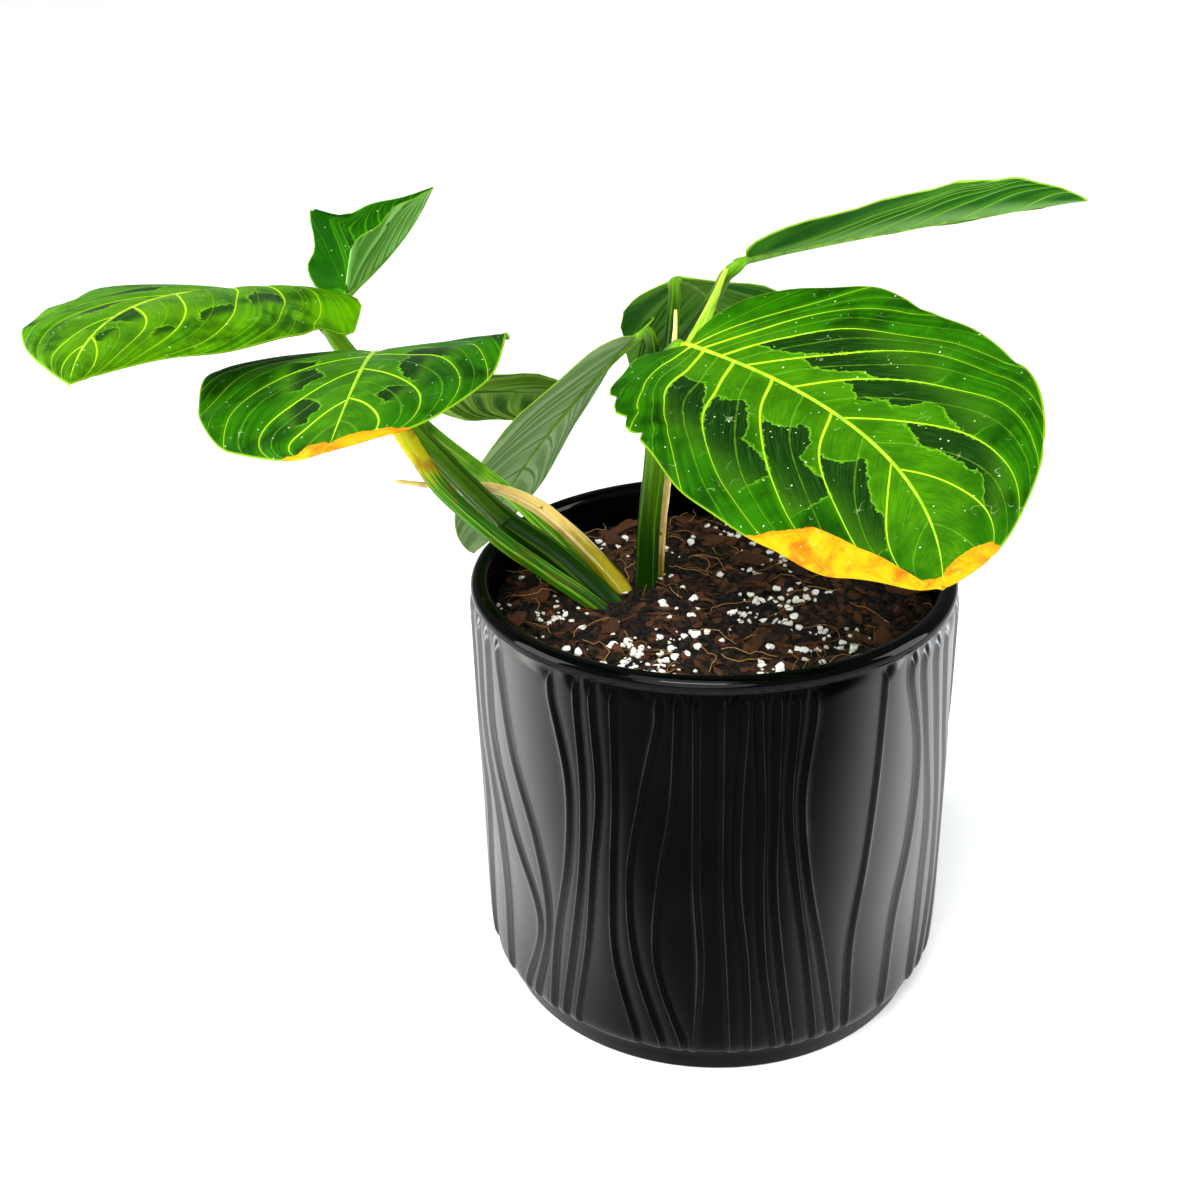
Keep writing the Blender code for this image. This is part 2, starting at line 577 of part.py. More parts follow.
def blade_point(leaf, s, t, side):
    """The blade's middle surface at s along the midrib and t from midrib to margin."""
    place, ahead, left, up = midrib_frame(leaf, s)
    half = leaf["left"] if side > 0 else leaf["right"]
    width = max(STALK_HALF_WIDTH, half["width"] * blade_width(leaf, s))
    rise = 0.0
    for where, spread, lift, stretch in half["bumps"]:
        near = math.exp(-((s - where) / spread) ** 2)
        width += stretch * near * min(1.0, 4.0 * width / half["width"])
        rise += lift * near
    waves, height = leaf["wave"]
    rise += height * math.sin(2 * math.pi * waves * s + side) * min(1.0, width / half["width"])
    fold = math.radians(half["fold"][0] + half["fold"][1] * s)
    curl = math.radians(half["curl"][0] + half["curl"][1] * s)
    if abs(curl) < 0.001:
        curl = 0.001
    outward = (math.sin(fold + curl * t) - math.sin(fold)) / curl * width
    upward = (math.cos(fold) - math.cos(fold + curl * t)) / curl * width + rise * t * t
    back = half["lobe"] * (1 - s) ** 4 * t * t * min(1.0, 3.3 * width / half["width"])
    return place + side * outward * left + upward * up - back * ahead


def build_blade(name, material):
    leaf = LEAVES[name]
    columns = [(t, -1) for t in reversed(BLADE_COLUMNS[1:])] + [(t, 1) for t in BLADE_COLUMNS]
    rows = [0.5 - 0.5 * math.cos(math.pi * k / (BLADE_ROWS - 1)) for k in range(BLADE_ROWS)]
    rows[-1] = 0.997
    grid = np.array([[blade_point(leaf, s, t, side) for t, side in columns] for s in rows])
    along = np.gradient(grid, axis=0)
    across = np.gradient(grid, axis=1)
    normal = np.cross(along, across)
    normal /= np.linalg.norm(normal, axis=-1, keepdims=True)
    thick = 0.5 * BLADE_THICKNESS
    upper = (grid + thick * normal).reshape(-1, 3)
    lower = (grid - thick * normal).reshape(-1, 3)
    count = len(columns)
    total = len(upper)
    faces = []
    for row in range(len(rows) - 1):
        for column in range(count - 1):
            a = row * count + column
            b, c, d = a + 1, a + count + 1, a + count
            for triangle in ((a, b, c), (a, c, d)):
                faces.append(triangle)
                faces.append(tuple(total + index for index in reversed(triangle)))
    border = [k for k in range(count)]
    border += [row * count + count - 1 for row in range(1, len(rows))]
    border += [(len(rows) - 1) * count + k for k in range(count - 2, -1, -1)]
    border += [row * count for row in range(len(rows) - 2, 0, -1)]
    for k, a in enumerate(border):
        b = border[(k + 1) % len(border)]
        faces.append((b, a, total + a))
        faces.append((b, total + a, total + b))
    points = np.concatenate([upper, lower])
    return fix_facing(make_object("blade_" + name, points, faces, material))


def build():
    clear_scene()
    materials = {name: make_material(name) for name in COLOURS}
    build_pot(materials["pot_ceramic"])
    mix = build_mix(materials["potting_mix"])
    bore_mix(mix)
    build_shoot("shoot_left", "left", materials["stem_green"])
    build_shoot("shoot_centre", "centre", materials["stem_green"])
    for name in SHEATHS:
        finish = "sheath_tan" if "dry" in name or "tip" in name else "sheath_green"
        build_sheath(name, materials["new_leaf" if name == "new_leaf" else finish])
    for name in LEAVES:
        finish = "leaf_underside" if name in UNDERSIDE_LEAVES else "leaf_green"
        build_blade(name, materials[finish])


build()
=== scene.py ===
import math

import bpy
import numpy as np
from mathutils import Matrix, Vector, noise


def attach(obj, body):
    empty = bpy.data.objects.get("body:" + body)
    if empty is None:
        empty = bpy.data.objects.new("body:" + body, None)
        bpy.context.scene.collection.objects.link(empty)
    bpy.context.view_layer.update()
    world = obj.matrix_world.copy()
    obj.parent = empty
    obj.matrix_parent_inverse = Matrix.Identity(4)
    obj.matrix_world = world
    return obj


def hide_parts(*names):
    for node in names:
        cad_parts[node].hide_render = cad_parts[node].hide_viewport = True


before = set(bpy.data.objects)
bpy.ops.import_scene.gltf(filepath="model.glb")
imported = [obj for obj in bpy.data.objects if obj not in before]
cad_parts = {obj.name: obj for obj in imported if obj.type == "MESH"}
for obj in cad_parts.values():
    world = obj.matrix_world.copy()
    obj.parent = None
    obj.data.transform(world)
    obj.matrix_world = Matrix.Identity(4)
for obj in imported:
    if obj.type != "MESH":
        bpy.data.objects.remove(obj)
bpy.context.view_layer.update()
mm = 0.001
turn = 2 * math.pi


# Small tools for meshes

def smoothStep(value, start, end):
    t = np.clip((np.asarray(value, float) - start) / (end - start), 0.0, 1.0)
    return t * t * (3 - 2 * t)


def smoothThrough(x, knots, values):
    # a cubic that passes through the values
    knots = np.asarray(knots, float)
    values = np.asarray(values, float)
    slopes = np.gradient(values, knots)
    k = np.clip(np.searchsorted(knots, x) - 1, 0, len(knots) - 2)
    span = knots[k + 1] - knots[k]
    f = np.clip((x - knots[k]) / span, 0.0, 1.0)
    start = (1 + 2 * f) * (1 - f) ** 2 * values[k] + f * (1 - f) ** 2 * span * slopes[k]
    return start + f * f * (3 - 2 * f) * values[k + 1] + f * f * (f - 1) * span * slopes[k + 1]


def smoothPath(points, perSpan):
    # a smooth line through points in space, as the part's source draws its stems
    knots = [np.array(point, float) for point in points]
    knots = [2 * knots[0] - knots[1]] + knots + [2 * knots[-1] - knots[-2]]
    path = []
    for k in range(1, len(knots) - 2):
        a, b, c, d = knots[k - 1:k + 3]
        for step in range(perSpan):
            t = step / perSpan
            path.append(0.5 * (2 * b + (c - a) * t + (2 * a - 5 * b + 4 * c - d) * t ** 2
                               + (3 * b - a - 3 * c + d) * t ** 3))
    path.append(knots[-2])
    return np.array(path)


def newPiece(name, points, faces, materials=(), slots=None):
    mesh = bpy.data.meshes.new(name)
    mesh.from_pydata((np.asarray(points, float) * mm).tolist(), [], faces)
    for material in materials:
        mesh.materials.append(material)
    if slots is not None:
        mesh.polygons.foreach_set("material_index", slots)
    mesh.polygons.foreach_set("use_smooth", [True] * len(mesh.polygons))
    mesh.update()
    piece = bpy.data.objects.new(name, mesh)
    bpy.context.scene.collection.objects.link(piece)
    return piece


def paint(piece, name, values, kind="FLOAT", part="value"):
    # one number or vector a point, which a material reads by name
    attribute = piece.data.attributes.new(name, kind, "POINT")
    attribute.data.foreach_set(part, np.asarray(values, np.float32).ravel())


def gridFaces(rows, columns, closed=False):
    faces = []
    last = columns if closed else columns - 1
    for row in range(rows - 1):
        for column in range(last):
            a = row * columns + column
            b = row * columns + (column + 1) % columns
            faces.append((a, b, b + columns, a + columns))
    return faces


def closedFaces(rows, columns):
    # a grid that wraps round, with a cap at each end
    total = rows * columns
    caps = [tuple(reversed(range(columns))), tuple(range(total - columns, total))]
    return gridFaces(rows, columns, True) + caps


def joinPieces(name, pieces):
    with bpy.context.temp_override(active_object=pieces[0], object=pieces[0],
                                   selected_objects=pieces, selected_editable_objects=pieces):
        bpy.ops.object.join()
    pieces[0].name = name
    pieces[0].data.name = name
    return pieces[0]


def placePiece(piece, slot, *nodes):
    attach(piece, "root")
    if nodes:
        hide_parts(*nodes)


# Small tools for node trees

class Value:
    # one output of a node; sums and products of values add their own math nodes
    def __init__(self, nodes, socket):
        self.nodes = nodes
        self.socket = socket

    def __add__(self, other):
        return self.nodes.calc("ADD", self, other)

    def __sub__(self, other):
        return self.nodes.calc("SUBTRACT", self, other)

    def __rsub__(self, other):
        return self.nodes.calc("SUBTRACT", other, self)

    def __mul__(self, other):
        return self.nodes.calc("MULTIPLY", self, other)

    def __truediv__(self, other):
        return self.nodes.calc("DIVIDE", self, other)

    def __rtruediv__(self, other):
        return self.nodes.calc("DIVIDE", other, self)

    def __abs__(self):
        return self.nodes.calc("ABSOLUTE", self)

    def of(self, output):
        # another output of the same node
        return Value(self.nodes, self.socket.node.outputs[output])

    def ramp(self, start, end, low=0.0, high=1.0):
        # a smooth step of the value
        feeds = {"Value": self, "From Min": start, "From Max": end, "To Min": low, "To Max": high}
        return self.nodes.get("ShaderNodeMapRange", feeds, interpolation_type="SMOOTHSTEP")


class Nodes:
    # a node tree and short ways to fill it
    def __init__(self, tree):
        self.tree = tree

    def feed(self, value, socket):
        if isinstance(value, Value):
            self.tree.links.new(value.socket, socket)
        else:
            socket.default_value = value

    def get(self, kind, feeds=None, output=0, **settings):
        # adds a node, feeds its inputs and gives one of its outputs
        node = self.tree.nodes.new(kind)
        for name, value in settings.items():
            setattr(node, name, value)
        for key, value in (feeds or {}).items():
            self.feed(value, node.inputs[key])
        return Value(self, node.outputs[output]) if node.outputs else None

    def calc(self, operation, *values):
        return self.get("ShaderNodeMath", dict(enumerate(values)), operation=operation)

    def vector(self, operation, feeds):
        return self.get("ShaderNodeVectorMath", feeds, operation=operation)

    def place(self):
        return self.get("ShaderNodeTexCoord", output="Object")

    def field(self, name):
        # a number painted on the points
        return self.get("ShaderNodeAttribute", output="Fac", attribute_name=name)

    def clouds(self, place, scale, detail, **more):
        feeds = {"Vector": place, "Scale": scale, "Detail": detail, **more}
        return self.get("ShaderNodeTexNoise", feeds, noise_dimensions="4D" if "W" in more else "3D")

    def mix(self, share, first, second):
        return self.get("ShaderNodeMix", {0: share, 6: first, 7: second}, 2, data_type="RGBA")

    def layers(self, colour, *coats):
        # lays colours over the first, each by its share
        for share, over in coats:
            colour = self.mix(share, colour, over)
        return colour

    def use(self, group, **feeds):
        return self.get("ShaderNodeGroup", feeds, node_tree=group)

    def close(self, values):
        # makes the group's outputs
        kind = "NodeSocketGeometry" if self.tree.type == "GEOMETRY" else "NodeSocketFloat"
        for label in values:
            self.tree.interface.new_socket(label, in_out="OUTPUT", socket_type=kind)
        self.get("NodeGroupOutput", values)
        return self.tree

    def finish(self, colour, roughness=None, height=None, depth=0.0001, strength=0.5):
        # feeds the material's shader
        self.feed(colour, self.shader["Base Color"])
        if roughness is not None:
            self.feed(roughness, self.shader["Roughness"])
        if height is not None:
            bump = self.get("ShaderNodeBump", {"Height": height, "Distance": depth, "Strength": strength})
            self.feed(bump, self.shader["Normal"])
        return self.material


def startMaterial(name, roughness, specular, refraction=1.5):
    material = bpy.data.materials.new(name)
    material.use_nodes = True
    nodes = Nodes(material.node_tree)
    nodes.material = material
    nodes.shader = material.node_tree.nodes["Principled BSDF"].inputs
    nodes.shader["Roughness"].default_value = roughness
    nodes.shader["Specular IOR Level"].default_value = specular
    nodes.shader["IOR"].default_value = refraction
    return nodes


def startGroup(name, inputs, kind="ShaderNodeTree"):
    # inputs holds a start value for each number, or the kind of its socket
    tree = bpy.data.node_groups.new(name, kind)
    kinds = {float: "NodeSocketFloat", int: "NodeSocketInt"}
    for label, value in inputs.items():
        socketKind = kinds.get(type(value), value)
        socket = tree.interface.new_socket(label, in_out="INPUT", socket_type=socketKind)
        if type(value) in kinds:
            socket.default_value = value
    nodes = Nodes(tree)
    given = tree.nodes.new("NodeGroupInput").outputs
    return nodes, {label: Value(nodes, given[label]) for label in inputs}


def tone(red, green, blue):
    # a screen colour as linear light
    parts = [c / 255 for c in (red, green, blue)]
    return (*[c / 12.92 if c <= 0.04045 else ((c + 0.055) / 1.055) ** 2.4 for c in parts], 1.0)


def toneSet(values):
    # the screen colours of a table as linear light, its plain numbers as they are
    return {key: tone(*value) if isinstance(value, tuple) else value for key, value in values.items()}


# Shader groups shared by several finishes

def specksGroup():
    # small round marks, scattered in the object's own space
    nodes, given = startGroup("specks", {"Spacing": 0.004, "Size": 0.2, "Share": 0.5})
    cells = nodes.get("ShaderNodeTexVoronoi", {"Vector": nodes.place(), "Scale": 1.0 / given["Spacing"],
                                               "Randomness": 1.0})
    pick = nodes.get("ShaderNodeSeparateColor", {0: cells.of("Color")})
    near = given["Size"] * (pick.of(1) + 0.35) - cells.of("Distance")
    return nodes.close({"Mask": near.ramp(0.0, 0.05) * nodes.calc("LESS_THAN", pick, given["Share"])})


def mottleGroup():
    # cloudy variation with a contrast
    nodes, given = startGroup("mottle", {"Spacing": 0.01, "Detail": 4.0, "Low": 0.35, "High": 0.65})
    clouds = nodes.clouds(nodes.place(), 1.0 / given["Spacing"], given["Detail"], Roughness=0.6)
    return nodes.close({"Mask": clouds.ramp(given["Low"], given["High"])})


def scratchGroup():
    # short thin curved lines, here and there
    nodes, given = startGroup("scratchMarks", {"Spacing": 0.004})
    place = nodes.place()
    scale = 1.0 / given["Spacing"]
    lines = nodes.clouds(place, scale, 1.0)
    where = nodes.clouds(place, scale * 0.8, 2.0, W=5.3)
    line = 1.0 - abs(lines - 0.5).ramp(0.003, 0.014)
    return nodes.close({"Scratch": line * where.ramp(0.6, 0.68)})


def leafGroup():
    # masks of a blade's markings, from the numbers painted on its points
    nodes, given = startGroup("leafMarks", {"Vein width": 0.35})
    phase, gap, across, edge = (nodes.field(name) for name in ("veinPhase", "veinGap", "leafAcross",
                                                               "edgeDistance"))
    wobble = nodes.clouds(nodes.place(), 420.0, 5.0, Roughness=0.7) - 0.5
    off = abs(nodes.calc("FRACT", phase + 0.5) - 0.5)
    distance = off * gap
    wide = given["Vein width"] * (1.35 - across) + 0.1
    lines = nodes.get("ShaderNodeCombineXYZ", {"X": phase * 9.0, "Y": across * 1.6})
    field = nodes.field("patchField") + wobble * 4.2
    share = nodes.field("patchShare")
    patch = field.ramp(-0.12, 0.12) * share
    burn = nodes.field("burnField") + wobble * 3.0
    return nodes.close({
        "Vein": 1.0 - (distance / wide).ramp(0.7, 1.5), "Halo": 1.0 - distance.ramp(0.3, 3.0),
        "Second vein": 1.0 - ((0.5 - off) * gap + wobble).ramp(0.1, 0.4),
        "Stripe": nodes.clouds(lines, 1.0, 3.0), "Fine": nodes.clouds(lines, 5.0, 2.0), "Patch": patch,
        "Outline": field.ramp(-0.9, -0.2) * (1.0 - patch) * share, "Burn": burn.ramp(-0.3, 0.3),
        "Scorch": 1.0 - abs(burn - 0.9).ramp(0.2, 1.6), "Margin": 1.0 - edge.ramp(0.15, 0.5),
        "Between": off * 2.0})


specks = specksGroup()
mottle = mottleGroup()
scratches = scratchGroup()
leafMarks = leafGroup()


# Leaf finishes, in screen colours

leafTones = {
    "topDeep": {"vein": (172, 222, 36), "feather": (62, 123, 5), "featherDark": (30, 80, 3),
                "outer": (23, 78, 1), "outerLight": (40, 106, 2), "outerDark": (6, 38, 1),
                "patch": (9, 36, 4), "patchLight": (30, 68, 20), "outline": (130, 196, 40),
                "margin": (150, 196, 26)},
    "topLight": {"vein": (172, 220, 30), "feather": (84, 142, 0), "featherDark": (40, 98, 0),
                 "outer": (44, 106, 0), "outerLight": (88, 150, 1), "outerDark": (6, 52, 0),
                 "patch": (14, 53, 2), "patchLight": (30, 82, 5), "outline": (140, 196, 20),
                 "margin": (140, 190, 20)},
    # the small upper left leaf's top: its own deep green, darkened further as painted shade for the shade in
    # its fold
    "topPlain": {"vein": (50, 124, 4), "feather": (36, 96, 1), "featherDark": (16, 70, 0),
                 "outer": (6, 60, 0), "outerLight": (22, 84, 1), "outerDark": (2, 36, 0),
                 "patch": (9, 44, 2), "patchLight": (27, 75, 5), "outline": (60, 130, 20),
                 "margin": (110, 170, 20)},
    "underGreen": {"light": (55, 116, 18), "dark": (22, 80, 5), "vein": (116, 170, 70),
                   "inner": (122, 168, 92), "margin": (150, 196, 50)},
    "underFresh": {"light": (148, 204, 108), "dark": (80, 144, 46), "vein": (60, 112, 20),
                   "inner": (140, 196, 96), "margin": (130, 180, 60)},
    "underShade": {"light": (96, 146, 52), "dark": (26, 90, 3), "vein": (66, 118, 24),
                   "inner": (92, 142, 48), "margin": (96, 158, 30)},
    "underGrey": {"light": (148, 176, 120), "dark": (96, 134, 70), "vein": (70, 112, 44),
                  "inner": (140, 170, 112), "margin": (150, 186, 90)},
    "underPale": {"light": (134, 169, 66), "dark": (34, 87, 4), "vein": (96, 150, 24),
                  "inner": (120, 164, 56), "margin": (84, 134, 14)},
}


def leafTop(name, tones):
    nodes = startMaterial(name, 0.45, 0.2, 1.14)
    marks = nodes.use(leafMarks, **{"Vein width": 0.215})
    stripe = marks.of("Stripe")
    fine = marks.of("Fine")
    across = nodes.field("leafAcross")
    shade = nodes.use(mottle, Spacing=0.012, Detail=4.0, Low=0.4, High=0.64)
    light = nodes.use(mottle, Spacing=0.022, Detail=3.0, Low=0.4, High=0.72)
    blotch = nodes.use(mottle, Spacing=0.0065, Detail=5.0, Low=0.42, High=0.66)
    feather = nodes.layers(tones["feather"], (fine.ramp(0.35, 0.75, 0.0, 0.6), tones["featherDark"]),
                           (shade * 0.6, tones["featherDark"]))
    outer = nodes.layers(tones["outer"], (stripe.ramp(0.35, 0.7), tones["outerLight"]),
                         (shade * 0.8, tones["outerDark"]), (light * 0.6, tones["outerLight"]))
    patch = nodes.mix(fine.ramp(0.4, 0.75), tones["patch"], tones["patchLight"])
    burnt = nodes.layers(tone(196, 162, 12), (blotch, tone(190, 100, 12)),
                         (marks.of("Scorch") * 0.7, tone(206, 130, 14)),
                         (fine.ramp(0.5, 0.75, 0.0, 0.6), tone(216, 184, 60)))
    colour = nodes.layers(
        feather, ((across + (stripe - 0.5) * 0.35).ramp(0.25, 0.6), outer),
        (marks.of("Halo") * 0.3, tones["feather"]), (marks.of("Outline") * 0.4, tones["outline"]),
        (marks.of("Patch") * 0.95, patch), (marks.of("Second vein") * 0.22, tones["outline"]),
        (marks * across.ramp(0.25, 0.95, 1.0, 0.55), tones["vein"]),
        (marks.of("Margin") * 0.6, tones["margin"]), (marks.of("Burn"), burnt),
        (nodes.use(scratches, Spacing=0.0042) * 0.28, tone(180, 208, 150)),
        (nodes.use(specks, Spacing=0.0018, Size=0.12, Share=0.4) * 0.85, tone(206, 224, 186)))
    return nodes.finish(colour, stripe.ramp(0.2, 0.8, 0.36, 0.5), fine + marks * 1.2, 0.0003)


def leafUnder(name, tones):
    nodes = startMaterial(name, 0.58, 0.2, 1.12)
    marks = nodes.use(leafMarks, **{"Vein width": 0.34})
    fine = marks.of("Fine")
    cloud = nodes.use(mottle, Spacing=0.02, Detail=3.0, Low=0.35, High=0.7)
    blotch = nodes.use(mottle, Spacing=0.006, Detail=4.0, Low=0.4, High=0.7)
    burnt = nodes.mix(blotch, tone(236, 196, 70), tone(190, 126, 40))
    band = marks.of("Between") + (marks.of("Stripe") - 0.5) * 1.3
    colour = nodes.layers(
        tones["light"], (band.ramp(0.25, 0.8), tones["dark"]), (cloud * 0.4, tones["dark"]),
        (fine.ramp(0.45, 0.75, 0.0, 0.35), tones["light"]),
        (nodes.field("leafAcross").ramp(0.04, 0.42, 0.6, 0.0), tones["inner"]),
        (marks * 0.8, tones["vein"]), (marks.of("Margin"), tones["margin"]), (marks.of("Burn"), burnt))
    return nodes.finish(colour, None, fine + marks * 1.6, 0.0003)


def ribFinish(name, first, second):
    nodes = startMaterial(name, 0.4, 0.3, 1.2)
    change = nodes.use(mottle, Spacing=0.004, Detail=3.0, Low=0.35, High=0.65)
    return nodes.finish(nodes.mix(change, first, second), None, change, 0.0001, 0.3)


materials = {"ribBright": ribFinish("ribBright", tone(176, 216, 50), tone(140, 190, 30)),
             "ribDark": ribFinish("ribDark", tone(116, 160, 52), tone(84, 130, 36))}
for name, tones in leafTones.items():
    makeFinish = leafTop if name.startswith("top") else leafUnder
    materials[name] = makeFinish("leaf" + name[0].upper() + name[1:], toneSet(tones))
print("leaf finishes made")


# Tube along a line, for midribs, stems and roots

def tubeTree():
    nodes, given = startGroup("stalkTube", {"Geometry": "NodeSocketGeometry", "Sides": 12, "Ridges": 0.0,
                                            "Seed": 0.0, "Finish": "NodeSocketMaterial"}, "GeometryNodeTree")
    line = nodes.get("GeometryNodeMeshToCurve", {0: given["Geometry"]})
    thick = nodes.get("GeometryNodeInputNamedAttribute", {"Name": "stalkRadius"}, data_type="FLOAT")
    where = nodes.get("GeometryNodeInputPosition")
    ring = nodes.get("GeometryNodeCurvePrimitiveCircle", {"Resolution": given["Sides"], "Radius": 1.0})
    ring = nodes.get("GeometryNodeStoreNamedAttribute",
                     {"Geometry": ring, "Name": "aroundStalk", "Value": where}, data_type="FLOAT_VECTOR")
    tube = nodes.get("GeometryNodeCurveToMesh", {"Curve": line, "Profile Curve": ring, "Scale": thick,
                                                 "Fill Caps": True})
    bumps = nodes.clouds(where, 260.0, 2.0, W=given["Seed"])
    push = (bumps - 0.5) * given["Ridges"]
    push = nodes.vector("SCALE", {0: nodes.get("GeometryNodeInputNormal"), "Scale": push})
    moved = nodes.get("GeometryNodeSetPosition", {"Geometry": tube, "Offset": push})
    real = nodes.get("GeometryNodeRealizeInstances", {0: moved})
    return dressed(nodes, nodes.get("GeometryNodeSetShadeSmooth", {0: real}), given["Finish"])


def dressed(nodes, geometry, finish):
    # the end of a tree gives every face its material
    done = nodes.get("GeometryNodeSetMaterial", {0: geometry, "Material": finish})
    return nodes.close({"Geometry": done})


def runNodes(piece, tree, **values):
    # gives the modifier its inputs, then keeps the plain mesh that it makes
    modifier = piece.modifiers.new(tree.name, "NODES")
    modifier.node_group = tree
    for item in tree.interface.items_tree:
        if item.item_type == "SOCKET" and item.in_out == "INPUT" and item.name in values:
            modifier[item.identifier] = values[item.name]
    graph = bpy.context.evaluated_depsgraph_get()
    graph.update()
    result = bpy.data.meshes.new_from_object(piece.evaluated_get(graph), preserve_all_data_layers=True,
                                             depsgraph=graph)
    piece.modifiers.clear()
    piece.data = result
    return piece


stalkTube = tubeTree()


def stalk(name, lines, material, sides=12, ridges=0.0, seed=0.0):
    # lines holds path points and radii in mm, and where its tones start if not at the foot;
    # every line becomes one closed tube
    points = []
    edges = []
    radii = []
    along = []
    for path, sizes, *age in lines:
        first = len(points)
        points.extend(path)
        radii.extend(sizes)
        along.extend(np.linspace(age[0] if age else 0, 1, len(path)))
        edges.extend((first + k, first + k + 1) for k in range(len(path) - 1))
    mesh = bpy.data.meshes.new(name)
    mesh.from_pydata((np.array(points) * mm).tolist(), edges, [])
    piece = bpy.data.objects.new(name, mesh)
    bpy.context.scene.collection.objects.link(piece)
    paint(piece, "stalkRadius", np.array(radii) * mm)
    paint(piece, "alongStalk", along)
    return runNodes(piece, stalkTube, Sides=sides, Ridges=ridges * mm, Seed=seed, Finish=material)


# Leaf blades. The first lines of each repeat the solid's own numbers, with bumps as place along the
# leaf, spread, lift and stretch. The rest are its markings: veins give where each vein starts and where
# it is at a third, two thirds and all of the half width, patches give the corners of the dark patches
# along and across, notches give place, spread and depth where the margin is torn back, and burn gives
# how far along the leaf the burnt tip begins at places across.

